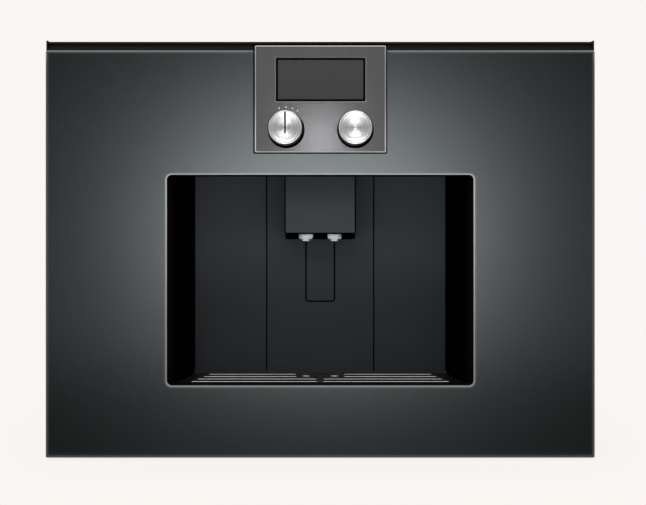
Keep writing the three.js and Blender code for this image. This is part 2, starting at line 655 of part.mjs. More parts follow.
// The moulded front of the housing behind the door, with an opening for the niche and for each drawer
function makeFrontFrame() {
  const face = roundedRectangle([-HALF_BODY, HALF_BODY], [FIT, DOOR_TOP], FASCIA_RADIUS);
  const blank = frontPlate(face, FASCIA_BACK, BODY_FRONT, FASCIA_BEVEL);
  const through = [BODY_FRONT - CUT_MARGIN, FASCIA_BACK + CUT_MARGIN];
  const openings = Object.values(BAYS).map(([[x0, x1], [z0, z1]]) => box(
    [x0 - RUNNING_GAP, x1 + RUNNING_GAP],
    through,
    [z0 - RUNNING_GAP, z1 + RUNNING_GAP],
  ));
  const niche = box([-LINER_HALF_FRONT, LINER_HALF_FRONT], through, [TRAY_TOP, SHELF_BOTTOM]);
  const armSlots = Object.values(HINGE_ARMS).map((z) => box(
    [HINGE_X + HINGE_ARM_OFFSET - FIT, HINGE_X + HINGE_ARM_OFFSET + HINGE_ARM_WIDTH + FIT],
    through,
    [z - FIT, z + HINGE_ARM_THICKNESS + FIT],
  ));
  const dialBack = BODY_FRONT + DIAL_THICKNESS + 2 * FIT;
  const dialPocket = frontCylinder(DIAL_X, DIAL_Z, DIAL_RADIUS + RUNNING_GAP, dialBack, through[0]);
  const rockerHole = box(
    [ROCKER_X - ROCKER_WIDTH / 2 - FIT, ROCKER_X + ROCKER_WIDTH / 2 + FIT],
    through,
    [ROCKER_Z - ROCKER_HEIGHT / 2 - RUNNING_GAP, ROCKER_Z + ROCKER_HEIGHT / 2 + RUNNING_GAP],
  );
  const magnetPocket = box(
    [CATCH_X - CATCH_WIDTH / 2 - FIT, CATCH_X + CATCH_WIDTH / 2 + FIT],
    [BODY_FRONT - CUT_MARGIN, BODY_FRONT + CATCH_MAGNET_DEPTH + FIT],
    [DOOR_MIDDLE - CATCH_HEIGHT / 2 - FIT, DOOR_MIDDLE + CATCH_HEIGHT / 2 + FIT],
  );
  return cut(blank, [...openings, niche, ...armSlots, dialPocket, rockerHole, magnetPocket]);
}

// Full-width strip above the door: a channel, slots in its floor that let warm air out, and a lug at each end
function makeVentStrip() {
  const bottom = DOOR_TOP + VENT_STRIP_GAP;
  const top = bottom + VENT_STRIP_HEIGHT;
  const front = GLASS_FRONT + VENT_STRIP_SETBACK;
  const bar = box([-HALF_FRONT, HALF_FRONT], [front, FASCIA_BACK], [bottom, top]);
  const height = [bottom + VENT_STRIP_LIP, top - VENT_STRIP_LIP];
  const channelHalf = HALF_FRONT - VENT_STRIP_LIP;
  const channelBack = front + VENT_STRIP_CHANNEL;
  const channel = box([-channelHalf, channelHalf], [front - CUT_MARGIN, channelBack], height);
  const pitch = 2 * channelHalf / VENT_STRIP_SLOTS;
  const slotHalf = pitch / 2 - VENT_STRIP_LIP;
  const slot = box([-slotHalf, slotHalf], [channelBack - CUT_MARGIN, FASCIA_BACK + CUT_MARGIN], height);
  const slots = copies(slot, spaced(VENT_STRIP_SLOTS, pitch).map((x) => [x, 0, 0]));
  const lugSpan = [-LUG_WIDTH / 2, LUG_WIDTH / 2];
  const lug = box(lugSpan, [front, FASCIA_BACK], [top - LUG_HEIGHT, top + LUG_HEIGHT]);
  const lugX = HALF_FRONT - LUG_WIDTH / 2;
  return join([cut(bar, [channel, ...slots]), ...copies(lug, [[-lugX, 0, 0], [lugX, 0, 0]])]);
}

// Shelf above the niche with partitions for the bays, cut for the coffee chute
function makeChassis() {
  const half = HALF_BODY - SHEET - FIT;
  const depth = [PANEL_FRONT, CHASSIS_BACK];
  const shelf = box([-half, half], depth, [SHELF_BOTTOM, SHELF_TOP]);
  const leftWall = box([-PARTITION_INNER - PARTITION, -PARTITION_INNER], depth, [PAN_TOP, SHELF_TOP]);
  const rightWall = box([PARTITION_INNER, PARTITION_INNER + PARTITION], depth, [LINER_BOTTOM, SHELF_TOP]);
  const dividers = [
    TANK_LEFT - RUNNING_GAP - PARTITION,
    TANK_RIGHT + RUNNING_GAP,
    BEAN_RIGHT + RUNNING_GAP,
  ].map((x) => box([x, x + PARTITION], depth, [SHELF_BOTTOM, BODY_HEIGHT - SHEET - FIT]));
  const brewFloor = box([PARTITION_INNER, half], depth, [BREW_BOTTOM - FIT - PARTITION, BREW_BOTTOM - FIT]);
  const groundsHole = box(
    [BREW_LEFT + DROP_HOLE_INSET, BREW_RIGHT - DROP_HOLE_INSET],
    [DROP_Y - CYLINDER_RADIUS, DROP_Y + CYLINDER_RADIUS],
    [BREW_BOTTOM - FIT - PARTITION - CUT_MARGIN, BREW_BOTTOM],
  );
  const frame = join([shelf, leftWall, rightWall, ...dividers, brewFloor]);
  return cut(frame, [groundsHole, makeChuteBlank(FIT)]);
}

// Moulded liner of the cup niche: tapered side walls, ceiling and a back wall with the carriage's window
function makeNicheLiner() {
  const front = BODY_FRONT + FIT;
  const top = NICHE_TOP + LINER_WALL;
  const blank = nichePrism(front, LINER_BACK, LINER_BOTTOM, top, LINER_WALL);
  const inside = nichePrism(
    front - CUT_MARGIN, NICHE_BACK + PANEL_THICKNESS + FIT, LINER_BOTTOM - CUT_MARGIN, NICHE_TOP);
  const windowHalf = GROOVE_HALF + GROOVE_WIDTH;
  const carriageWindow = box(
    [-windowHalf, windowHalf],
    [NICHE_BACK, LINER_BACK + CUT_MARGIN],
    [GROOVE_BOTTOM - GROOVE_WIDTH, OUTLET_TOP - OUTLET_WALL],
  );
  return cut(blank, [inside, carriageWindow]);
}

// Back panel of the niche between two x values
function makeNichePanel(x0, x1) {
  return box([x0, x1], [NICHE_BACK, NICHE_BACK + PANEL_THICKNESS], [NICHE_FLOOR + FIT, NICHE_TOP - FIT]);
}

// Centre back panel: a U-shaped groove leaves a tongue that hangs from the top, and the webs of the carriage
// run in its legs
function makeCentrePanel() {
  const half = CENTRE_PANEL_HALF - PANEL_SEAM / 2;
  const depth = [NICHE_BACK - CUT_MARGIN, NICHE_BACK + PANEL_THICKNESS + CUT_MARGIN];
  const outer = GROOVE_HALF + GROOVE_WIDTH / 2;
  const inner = GROOVE_HALF - GROOVE_WIDTH / 2;
  const grooveTop = OUTLET_TOP - OUTLET_WALL;
  const ringHeight = [GROOVE_BOTTOM - GROOVE_WIDTH / 2, grooveTop];
  const tongueHeight = [GROOVE_BOTTOM + GROOVE_WIDTH / 2, NICHE_TOP];
  const ringFace = roundedRectangle([-outer, outer], ringHeight, 2 * GROOVE_WIDTH);
  const tongueFace = roundedRectangle([-inner, inner], tongueHeight, GROOVE_WIDTH);
  const ring = frontPlate(ringFace, depth[1], depth[0]);
  const tongue = frontPlate(tongueFace, depth[1] + CUT_MARGIN, depth[0] - CUT_MARGIN);
  return cut(makeNichePanel(-half, half), [ring.subtract(tongue)]);
}

// Top-hat section behind the niche that holds and guides the outlet carriage
function makeOutletRail() {
  const y0 = LINER_BACK + FIT;
  const y1 = y0 + RAIL_DEPTH;
  const inner = CARRIAGE_HALF + RUNNING_GAP;
  const outer = inner + RAIL_SHEET;
  const flange = outer + RAIL_FLANGE;
  const rightHalf = [
    [inner, y1 - RAIL_SHEET],
    [inner, y0],
    [flange, y0],
    [flange, y0 + RAIL_SHEET],
    [outer, y0 + RAIL_SHEET],
    [outer, y1],
  ];
  const leftHalf = rightHalf.map(([x, y]) => [-x, y]).reverse();
  const section = outline([...rightHalf, ...leftHalf]);
  return upright(section, GROOVE_BOTTOM - RAIL_FLANGE, NICHE_TOP);
}

// Hinge arm in plan: a knuckle round the axis and a leg that runs into the housing
function makeHingeArm() {
  const mouth = BODY_FRONT - HINGE_Y;
  const left = HINGE_ARM_OFFSET;
  const right = left + HINGE_ARM_WIDTH;
  const turn = Math.PI / 6; // from the back of the knuckle to where the leg meets it
  const shape = new THREE.Shape();
  shape.moveTo(left, mouth + HINGE_ARM_LENGTH);
  shape.lineTo(left, mouth);
  shape.absarc(0, 0, HINGE_ARM_RADIUS, Math.PI - turn, 2 * Math.PI - turn);
  shape.lineTo(right, mouth);
  shape.lineTo(right, mouth + HINGE_ARM_LENGTH);
  const bore = new THREE.Path();
  bore.absarc(0, 0, HINGE_PIN_RADIUS + FIT, 0, 2 * Math.PI);
  shape.holes.push(bore);
  return upright(shape, 0, HINGE_ARM_THICKNESS);
}

function makeTrayRunner(x) {
  const depth = [PANEL_FRONT, PANEL_FRONT + TRAY_DEPTH];
  return box([x, x + TRAY_RUNNER_WIDTH], depth, [PAN_TOP, TRAY_BOTTOM - FIT]);
}

function makeCatchMagnet() {
  return box(
    [CATCH_X - CATCH_WIDTH / 2, CATCH_X + CATCH_WIDTH / 2],
    [BODY_FRONT, BODY_FRONT + CATCH_MAGNET_DEPTH],
    [DOOR_MIDDLE - CATCH_HEIGHT / 2, DOOR_MIDDLE + CATCH_HEIGHT / 2],
  );
}

// ---------------------------------------------------------------- machinery inside the housing

// The slanted outside of the coffee chute, from the grinder's side down to the brew unit
function makeChuteBlank(grow) {
  const x0 = GRINDER_RIGHT + FIT - grow;
  const x1 = BREW_X + CHUTE_WIDTH / 2 + grow;
  const high = SHELF_TOP + CHUTE_DROP + CHUTE_WIDTH + grow;
  const low = BREW_TOP + FIT - grow;
  const width = CHUTE_WIDTH + 2 * grow;
  const half = width / 2;
  const side = outline([
    [x0, high - width], [x1 - width, SHELF_BOTTOM], [x1 - width, low], [x1, low], [x1, SHELF_TOP], [x0, high],
  ]);
  return frontPlate(side, GRINDER_MIDDLE_Y + half, GRINDER_MIDDLE_Y - half);
}

// The chute is open at both ends
function makeChute() {
  const blank = makeChuteBlank(0);
  const x0 = GRINDER_RIGHT - CUT_MARGIN;
  const x1 = BREW_X + CHUTE_WIDTH / 2 - CHUTE_WALL;
  const high = SHELF_TOP + CHUTE_DROP + CHUTE_WIDTH - CHUTE_WALL;
  const low = BREW_TOP - CUT_MARGIN;
  const bore = CHUTE_WIDTH - 2 * CHUTE_WALL;
  const side = outline([
    [x0, high - bore], [x1 - bore, SHELF_BOTTOM], [x1 - bore, low], [x1, low], [x1, SHELF_TOP], [x0, high],
  ]);
  return cut(blank, [frontPlate(side, GRINDER_MIDDLE_Y + bore / 2, GRINDER_MIDDLE_Y - bore / 2)]);
}

// Grinder: housing with a throat towards the bean container and an outlet towards the chute
function makeGrinder() {
  const half = GRINDER_SIZE / 2;
  const bottom = SHELF_TOP + FIT;
  const plan = roundedRectangle(
    [GRINDER_X - half, GRINDER_X + half], [GRINDER_FRONT, GRINDER_FRONT + GRINDER_SIZE], GRINDER_RADIUS);
  const housing = upright(plan, bottom, bottom + GRINDER_SIZE);
  const throat = frontCylinder(GRINDER_X, THROAT_Z, THROAT_RADIUS, GRINDER_MIDDLE_Y, GRINDER_FRONT - CUT_MARGIN);
  const mouthHeight = SHELF_TOP + CHUTE_DROP + CHUTE_WIDTH / 2;
  const mouth = box(
    [GRINDER_X, GRINDER_RIGHT + CUT_MARGIN],
    [GRINDER_MIDDLE_Y - GRINDER_MOUTH / 2, GRINDER_MIDDLE_Y + GRINDER_MOUTH / 2],
    [mouthHeight - GRINDER_MOUTH / 2, mouthHeight + GRINDER_MOUTH / 2],
  );
  return cut(housing, [throat, mouth]);
}

// Motor behind the grinder, with a bearing boss at its end
function makeGrinderMotor() {
  const back = GRINDER_FRONT + GRINDER_SIZE + FIT;
  const z = SHELF_TOP + FIT + GRINDER_SIZE / 2;
  const end = back + GRINDER_MOTOR_LENGTH;
  const can = frontCylinder(GRINDER_X, z, GRINDER_MOTOR_RADIUS, end, back);
  const boss = frontCylinder(GRINDER_X, z, MOTOR_BOSS_RADIUS, end + MOTOR_BOSS_LENGTH, end - JOIN_OVERLAP);
  return join([can, boss]);
}

// Vibration pump: a coil block on a foot, with the pump tube through it
function makePump() {
  const x = -HALF_BODY + PUMP_BLOCK;
  const y = BODY_BACK - PUMP_LENGTH;
  const z = PAN_TOP + PUMP_BLOCK / 2 + PUMP_RADIUS / 2;
  const half = PUMP_BLOCK / 2;
  const coil = box([x - half, x + half], [y - half, y + half], [z - half, z + half]);
  const tube = frontCylinder(x, z, PUMP_RADIUS, y + PUMP_LENGTH / 2, y - PUMP_LENGTH / 2);
  const hoseStub = frontCylinder(x, z, HOSE_RADIUS, y + PUMP_LENGTH / 2 + HOSE_STUB_LENGTH, y);
  const foot = box([x - half / 2, x + half / 2], [y - half, y + half], [PAN_TOP, z]);
  return join([coil, tube, hoseStub, foot]);
}

// Thermoblock: a cast block with fins on its left side and a hose stub on top, against the left partition
function makeThermoblock() {
  const right = -PARTITION_INNER - PARTITION - FIT;
  const left = right - BOILER_WIDTH;
  const front = PANEL_FRONT + BOILER_DEPTH / 2;
  const block = box([left, right], [front, front + BOILER_DEPTH], [BOILER_Z, BOILER_Z + BOILER_HEIGHT]);
  const finPitch = BOILER_DEPTH / BOILER_FINS;
  const gap = box(
    [left - CUT_MARGIN, left + BOILER_FIN_DEPTH],
    [-finPitch / 4, finPitch / 4],
    [BOILER_Z - CUT_MARGIN, BOILER_Z + BOILER_HEIGHT + CUT_MARGIN],
  );
  const gaps = copies(gap, spaced(BOILER_FINS, finPitch, front + BOILER_DEPTH / 2).map((y) => [0, y, 0]));
  const portX = right - BOILER_WIDTH / 3;
  const portY = front + BOILER_DEPTH / 4;
  const port = uprightCylinder(portX, portY, HOSE_RADIUS, BOILER_Z, BOILER_Z + BOILER_HEIGHT + BOILER_PORT);
  return join([cut(block, gaps), port]);
}

// Control board on four stand-offs above the shelf, with its transformer and relays
function makeControlBoard() {
  const right = TANK_LEFT - RUNNING_GAP - PARTITION - CUT_MARGIN;
  const left = right - CONTROL_BOARD_WIDTH;
  const front = PANEL_FRONT + STANDOFF;
  const back = front + CONTROL_BOARD_DEPTH;
  const z = SHELF_TOP + FIT + STANDOFF;
  const plate = box([left, right], [front, back], [z, z + BOARD_THICKNESS]);
  const post = uprightCylinder(0, 0, STANDOFF_RADIUS, SHELF_TOP + FIT, z + BOARD_THICKNESS / 2, 2 * ARC);
  const postRows = [front + STANDOFF, back - STANDOFF];
  const posts = [left + STANDOFF, right - STANDOFF].flatMap((x) => copies(post, postRows.map((y) => [x, y, 0])));
  const transformer = box(
    [left + COMPONENT_INSET, left + COMPONENT_INSET + TRANSFORMER_SIZE],
    [back - COMPONENT_INSET - TRANSFORMER_SIZE, back - COMPONENT_INSET],
    [z, z + TRANSFORMER_HEIGHT],
  );
  const relay = box([-RELAY_SIZE, 0], [-RELAY_SIZE / 2, RELAY_SIZE / 2], [z, z + RELAY_SIZE]);
  const relayRows = spaced(RELAY_COUNT, RELAY_PITCH, front + COMPONENT_INSET + RELAY_COUNT * RELAY_PITCH / 2);
  const relays = copies(relay, relayRows.map((y) => [right - COMPONENT_INSET, y, 0]));
  return join([plate, ...posts, transformer, ...relays]);
}

// Appliance inlet flush with the rear panel: a recess with three flat pins, and a collar behind the sheet
function makePowerInlet() {
  const halfWidth = INLET_WIDTH / 2;
  const halfHeight = INLET_HEIGHT / 2;
  const nose = box(
    [INLET_X - halfWidth, INLET_X + halfWidth],
    [BODY_BACK - INLET_DEPTH, BODY_BACK],
    [INLET_Z - halfHeight, INLET_Z + halfHeight],
  );
  const collar = box(
    [INLET_X - halfWidth - INLET_COLLAR, INLET_X + halfWidth + INLET_COLLAR],
    [BODY_BACK - INLET_DEPTH, BODY_BACK - SHEET - FIT],
    [INLET_Z - halfHeight - INLET_COLLAR, INLET_Z + halfHeight + INLET_COLLAR],
  );
  const recess = box(
    [INLET_X - halfWidth + INLET_RIM, INLET_X + halfWidth - INLET_RIM],
    [BODY_BACK - INLET_DEPTH + INLET_COLLAR, BODY_BACK + CUT_MARGIN],
    [INLET_Z - halfHeight + INLET_COLLAR, INLET_Z + halfHeight - INLET_COLLAR],
  );
  const pin = box(
    [-INLET_PIN / 2, INLET_PIN / 2],
    [BODY_BACK - INLET_DEPTH + INLET_COLLAR - JOIN_OVERLAP, BODY_BACK - INLET_PIN_SETBACK],
    [-INLET_PIN, INLET_PIN],
  );
  const outerPins = [-INLET_PIN_PITCH, INLET_PIN_PITCH].map((x) => [INLET_X + x, 0, INLET_Z - INLET_PIN_RAISE]);
  const pins = copies(pin, [[INLET_X, 0, INLET_Z + INLET_PIN_RAISE], ...outerPins]);
  return join([cut(join([nose, collar]), [recess]), ...pins]);
}

// Switch body behind the fascia, hollowed for the back of the rocker
function makeSwitchBody() {
  const halfWidth = ROCKER_WIDTH / 2 + SWITCH_WALL;
  const halfHeight = ROCKER_HEIGHT / 2 + SWITCH_WALL;
  const blank = box(
    [ROCKER_X - halfWidth, ROCKER_X + halfWidth],
    [PANEL_FRONT, PANEL_FRONT + SWITCH_DEPTH],
    [ROCKER_Z - halfHeight, ROCKER_Z + halfHeight],
  );
  const hollow = box(
    [ROCKER_X - ROCKER_WIDTH / 2 - FIT, ROCKER_X + ROCKER_WIDTH / 2 + FIT],
    [PANEL_FRONT - CUT_MARGIN, ROCKER_Y + ROCKER_HEIGHT / 2 + FIT],
    [ROCKER_Z - ROCKER_HEIGHT / 2 - RUNNING_GAP, ROCKER_Z + ROCKER_HEIGHT / 2 + RUNNING_GAP],
  );
  return cut(blank, [hollow]);
}

// Rocker drawn about its axis in the side view: a round back and a shallow V in front
function makeRocker() {
  const half = ROCKER_HEIGHT / 2;
  const shape = new THREE.Shape();
  shape.moveTo(-ROCKER_FACE, -half);
  shape.absarc(0, 0, half, -Math.PI / 2, Math.PI / 2);
  shape.lineTo(-ROCKER_FACE, half);
  shape.lineTo(-ROCKER_FACE + ROCKER_DIP, 0);
  return crosswise(shape, -ROCKER_WIDTH / 2, ROCKER_WIDTH / 2);
}

// Knurled grind dial with a finger slot across its face, drawn about its axis
function makeGrindDial() {
  const disc = frontCylinder(0, 0, DIAL_RADIUS, DIAL_THICKNESS, 0, 2 * DIAL_KNURLS);
  const knurl = frontCylinder(0, 0, DIAL_KNURL_RADIUS, DIAL_THICKNESS + CUT_MARGIN, -CUT_MARGIN, ARC + 1);
  const knurls = Array.from({ length: DIAL_KNURLS }, (_, index) => {
    const angle = 2 * Math.PI * index / DIAL_KNURLS;
    return [DIAL_RADIUS * Math.cos(angle), 0, DIAL_RADIUS * Math.sin(angle)];
  });
  const slot = box(
    [-DIAL_SLOT_WIDTH / 2, DIAL_SLOT_WIDTH / 2],
    [-CUT_MARGIN, DIAL_THICKNESS / 2],
    [-DIAL_SLOT_LENGTH / 2, DIAL_SLOT_LENGTH / 2],
  );
  return cut(disc, [...copies(knurl, knurls), slot]);
}

// ---------------------------------------------------------------- coffee outlet

// Carriage: a plate in the rail, two webs through the groove and a block that carries cover and nozzles
function makeOutletCarriage() {
  const plateTop = OUTLET_TOP - 2 * OUTLET_WALL - RUNNING_GAP;
  const plate = box(
    [-CARRIAGE_HALF, CARRIAGE_HALF],
    [CARRIAGE_FRONT, LINER_BACK + FIT + RAIL_DEPTH - RAIL_SHEET - FIT],
    [OUTLET_BOTTOM, plateTop],
  );
  const webHalf = GROOVE_WIDTH / 2 - FIT;
  const webDepth = [OUTLET_BACK - JOIN_OVERLAP, CARRIAGE_FRONT + JOIN_OVERLAP];
  const web = box([-webHalf, webHalf], webDepth, [OUTLET_BOTTOM, plateTop]);
  const half = OUTLET_HALF - OUTLET_WALL - FIT;
  const blockBottom = OUTLET_BOTTOM - BLOCK_DROP;
  const block = box(
    [-half, half],
    [OUTLET_FRONT + OUTLET_WALL + FIT, OUTLET_BACK],
    [blockBottom, OUTLET_TOP - OUTLET_WALL - FIT],
  );
  const foot = box(
    [-half, half],
    [OUTLET_BACK - CARRIAGE_FOOT_DEPTH, OUTLET_BACK],
    [OUTLET_BOTTOM - CARRIAGE_FOOT, OUTLET_TOP - OUTLET_HEIGHT / 2],
  );
  return join([plate, block, foot, ...copies(web, [[-GROOVE_HALF, 0, 0], [GROOVE_HALF, 0, 0]])]);
}

// Cover: a shell pushed over the block from the front, open behind and below
function makeOutletCover() {
  const face = roundedRectangle([-OUTLET_HALF, OUTLET_HALF], [OUTLET_BOTTOM, OUTLET_TOP], OUTLET_RADIUS);
  const shell = frontPlate(face, OUTLET_BACK, OUTLET_FRONT, OUTLET_BEVEL);
  const inside = box(
    [-OUTLET_HALF + OUTLET_WALL, OUTLET_HALF - OUTLET_WALL],
    [OUTLET_FRONT + OUTLET_WALL, OUTLET_BACK + CUT_MARGIN],
    [OUTLET_BOTTOM - CUT_MARGIN, OUTLET_TOP - OUTLET_WALL],
  );
  return cut(shell, [inside]);
}

// Faceted nozzle with a tip and a bore, hanging from height 0
function makeNozzle() {
  const shoulder = NOZZLE_RADIUS - NOZZLE_CHAMFER;
  const tipBottom = -NOZZLE_HEIGHT - NOZZLE_TIP_HEIGHT;
  return turned([
    [NOZZLE_BORE_RADIUS, 0],
    [NOZZLE_BORE_RADIUS, tipBottom],
    [NOZZLE_TIP_RADIUS - NOZZLE_TIP_CHAMFER, tipBottom],
    [NOZZLE_TIP_RADIUS, -NOZZLE_HEIGHT],
    [shoulder, -NOZZLE_HEIGHT],
    [NOZZLE_RADIUS, NOZZLE_CHAMFER_HEIGHT - NOZZLE_HEIGHT],
    [NOZZLE_RADIUS, -NOZZLE_CHAMFER_HEIGHT],
    [shoulder, 0],
    [NOZZLE_BORE_RADIUS, 0],
  ], NOZZLE_FACETS);
}

// ---------------------------------------------------------------- door

// Space that the fixed hinge arms need in the swinging door
function makeHingePockets() {
  return Object.values(HINGE_ARMS).map((z) => uprightCylinder(
    HINGE_X, HINGE_Y, HINGE_POCKET, z - RUNNING_GAP, z + HINGE_ARM_THICKNESS + RUNNING_GAP));
}

// Lower end of the pin that runs through the arm at height z
function pinBottom(z) {
  return z + HINGE_ARM_THICKNESS / 2 - HINGE_PIN_LENGTH / 2;
}

// Outline that the moulded frame of the door and its cover share
function doorInsideFace() {
  return roundedRectangle(
    [-HALF_FRONT + DOOR_FRAME_INSET_LEFT, HALF_FRONT - DOOR_FRAME_INSET],
    [DOOR_LIFT + DOOR_FRAME_INSET, DOOR_TOP - DOOR_FRAME_INSET],
    DOOR_CORNER_RADIUS,
  );
}

// Front pane with a bevelled edge and a bevelled opening for the niche
function makeDoorGlass() {
  const pane = roundedRectangle([-HALF_FRONT, HALF_FRONT], [DOOR_LIFT, DOOR_TOP], DOOR_CORNER_RADIUS);
  const niche = roundedRectangle([-NICHE_HALF_FRONT, NICHE_HALF_FRONT], [NICHE_FLOOR, NICHE_TOP], NICHE_RADIUS);
  const cableHole = roundedRectangle(
    [-CABLE_HOLE_WIDTH / 2, CABLE_HOLE_WIDTH / 2],
    [MODULE_MIDDLE, MODULE_MIDDLE + CABLE_HOLE_HEIGHT],
    CABLE_HOLE_RADIUS,
  );
  pane.holes.push(niche, cableHole);
  return frontPlate(pane, GLASS_BACK, GLASS_FRONT, GLASS_BEVEL);
}

// Moulded inner frame: a skin behind the glass, a rim, a grid of ribs and the tunnel of the niche
function makeDoorFrame() {
  const left = -HALF_FRONT + DOOR_FRAME_INSET_LEFT;
  const right = HALF_FRONT - DOOR_FRAME_INSET;
  const bottom = DOOR_LIFT + DOOR_FRAME_INSET;
  const top = DOOR_TOP - DOOR_FRAME_INSET;
  const blank = frontPlate(doorInsideFace(), FRAME_BACK, FRAME_FRONT);
  const cellWidth = (right - left - DOOR_RIB) / DOOR_CELLS_ACROSS;
  const cellHeight = (top - bottom - DOOR_RIB) / DOOR_CELLS_UP;
  const cell = box(
    [DOOR_RIB, cellWidth],
    [FRAME_FRONT + DOOR_SKIN, FRAME_BACK + CUT_MARGIN],
    [DOOR_RIB, cellHeight],
  );
  const places = [];
  for (let column = 0; column < DOOR_CELLS_ACROSS; column += 1) {
    for (let row = 0; row < DOOR_CELLS_UP; row += 1) {
      places.push([left + column * cellWidth, 0, bottom + row * cellHeight]);
    }
  }
  const tunnel = nichePrism(
    FRAME_FRONT, FRAME_BACK + CUT_MARGIN, NICHE_FLOOR - TUNNEL_WALL, NICHE_TOP + TUNNEL_WALL, TUNNEL_WALL);
  const hingeBlocks = Object.values(HINGE_ARMS).map((z) => box(
    [left, HINGE_X + HINGE_BLOCK],
    [FRAME_FRONT, FRAME_BACK + CUT_MARGIN],
    [z - HINGE_PIN_LENGTH, z + HINGE_PIN_LENGTH],
  ));
  const hollows = cut(join(copies(cell, places)), [tunnel, ...hingeBlocks]);
  const opening = nichePrism(FRAME_FRONT - CUT_MARGIN, FRAME_BACK + CUT_MARGIN, NICHE_FLOOR, NICHE_TOP);
  const pinBores = Object.values(HINGE_ARMS).map((z) => uprightCylinder(
    HINGE_X, HINGE_Y, HINGE_PIN_RADIUS + FIT, pinBottom(z) - FIT, pinBottom(z) + HINGE_PIN_LENGTH + FIT));
  const cableHole = box(
    [-CABLE_HOLE_WIDTH / 2, CABLE_HOLE_WIDTH / 2],
    [FRAME_FRONT - CUT_MARGIN, FRAME_FRONT + DOOR_SKIN + CUT_MARGIN],
    [MODULE_MIDDLE, MODULE_MIDDLE + CABLE_HOLE_HEIGHT],
  );
  return cut(blank, [hollows, opening, ...makeHingePockets(), ...pinBores, cableHole]);
}

// Smooth cover over the ribs, notched for the hinge arms
function makeDoorCover() {
  const plate = frontPlate(doorInsideFace(), COVER_BACK, COVER_FRONT);
  const opening = nichePrism(COVER_FRONT - CUT_MARGIN, COVER_BACK + CUT_MARGIN, NICHE_FLOOR, NICHE_TOP);
  return cut(plate, [opening, ...makeHingePockets()]);
}

// Flat gasket round the niche on the back of the door
function makeDoorSeal() {
  const inner = nicheHalf(COVER_BACK) + TUNNEL_WALL;
  const outer = inner + SEAL_WIDTH;
  const bottom = NICHE_FLOOR - TUNNEL_WALL;
  const top = NICHE_TOP + TUNNEL_WALL;
  const ring = roundedRectangle([-outer, outer], [bottom - SEAL_WIDTH, top + SEAL_WIDTH], NICHE_RADIUS);
  ring.holes.push(roundedRectangle([-inner, inner], [bottom, top], NICHE_RADIUS / 2));
  return frontPlate(ring, COVER_BACK + FIT + SEAL_THICKNESS, COVER_BACK + FIT);
}

// Steel plate on the back of the door that the magnet holds
function makeCatchPlate() {
  return box(
    [CATCH_X - CATCH_WIDTH / 2, CATCH_X + CATCH_WIDTH / 2],
    [COVER_BACK + FIT, BODY_FRONT - FIT],
    [DOOR_MIDDLE - CATCH_HEIGHT / 2, DOOR_MIDDLE + CATCH_HEIGHT / 2],
  );
}

// ---------------------------------------------------------------- control module

// Stainless shell, open at the back, with a window for the display and a hole for each knob shaft
function makeModuleShell() {
  const halfWidth = MODULE_WIDTH / 2;
  const face = roundedRectangle([-halfWidth, halfWidth], [MODULE_BOTTOM, MODULE_TOP], MODULE_RADIUS);
  const blank = frontPlate(face, MODULE_BACK, MODULE_FRONT, MODULE_BEVEL);
  const inside = box(
    [-halfWidth + MODULE_WALL, halfWidth - MODULE_WALL],
    [MODULE_FRONT + MODULE_WALL, MODULE_BACK + CUT_MARGIN],
    [MODULE_BOTTOM + MODULE_WALL, MODULE_TOP - MODULE_WALL],
  );
  const display = box(
    [-DISPLAY_WIDTH / 2 - FIT, DISPLAY_WIDTH / 2 + FIT],
    [MODULE_FRONT - CUT_MARGIN, MODULE_BACK],
    [DISPLAY_Z - DISPLAY_HEIGHT / 2 - FIT, DISPLAY_Z + DISPLAY_HEIGHT / 2 + FIT],
  );
  const shaftHoles = [-KNOB_HALF_SPACING, KNOB_HALF_SPACING].map((x) => frontCylinder(
    x, KNOB_Z, KNOB_SHAFT_RADIUS + FIT, MODULE_BACK, MODULE_FRONT - CUT_MARGIN));
  return cut(blank, [inside, display, ...shaftHoles]);
}

// Bezel round the display
function makeDisplayFrame() {
  const [x, z] = [DISPLAY_WIDTH / 2, DISPLAY_HEIGHT / 2];
  const [innerX, innerZ] = [x - DISPLAY_FRAME, z - DISPLAY_FRAME];
  const ring = roundedRectangle([-x, x], [DISPLAY_Z - z, DISPLAY_Z + z], DISPLAY_RADIUS);
  ring.holes.push(roundedRectangle(
    [-innerX, innerX], [DISPLAY_Z - innerZ, DISPLAY_Z + innerZ], DISPLAY_RADIUS / 2));
  return frontPlate(ring, MODULE_FRONT + DISPLAY_DEPTH + BOARD_THICKNESS, MODULE_FRONT);
}

// Glass of the display, set back in its bezel
function makeDisplayWindow() {
  const halfWidth = DISPLAY_WIDTH / 2 - DISPLAY_FRAME - FIT;
  const halfHeight = DISPLAY_HEIGHT / 2 - DISPLAY_FRAME - FIT;
  return box(
    [-halfWidth, halfWidth],
    [MODULE_FRONT + DISPLAY_DEPTH / 2, MODULE_FRONT + DISPLAY_DEPTH + BOARD_THICKNESS],
    [DISPLAY_Z - halfHeight, DISPLAY_Z + halfHeight],
  );
}

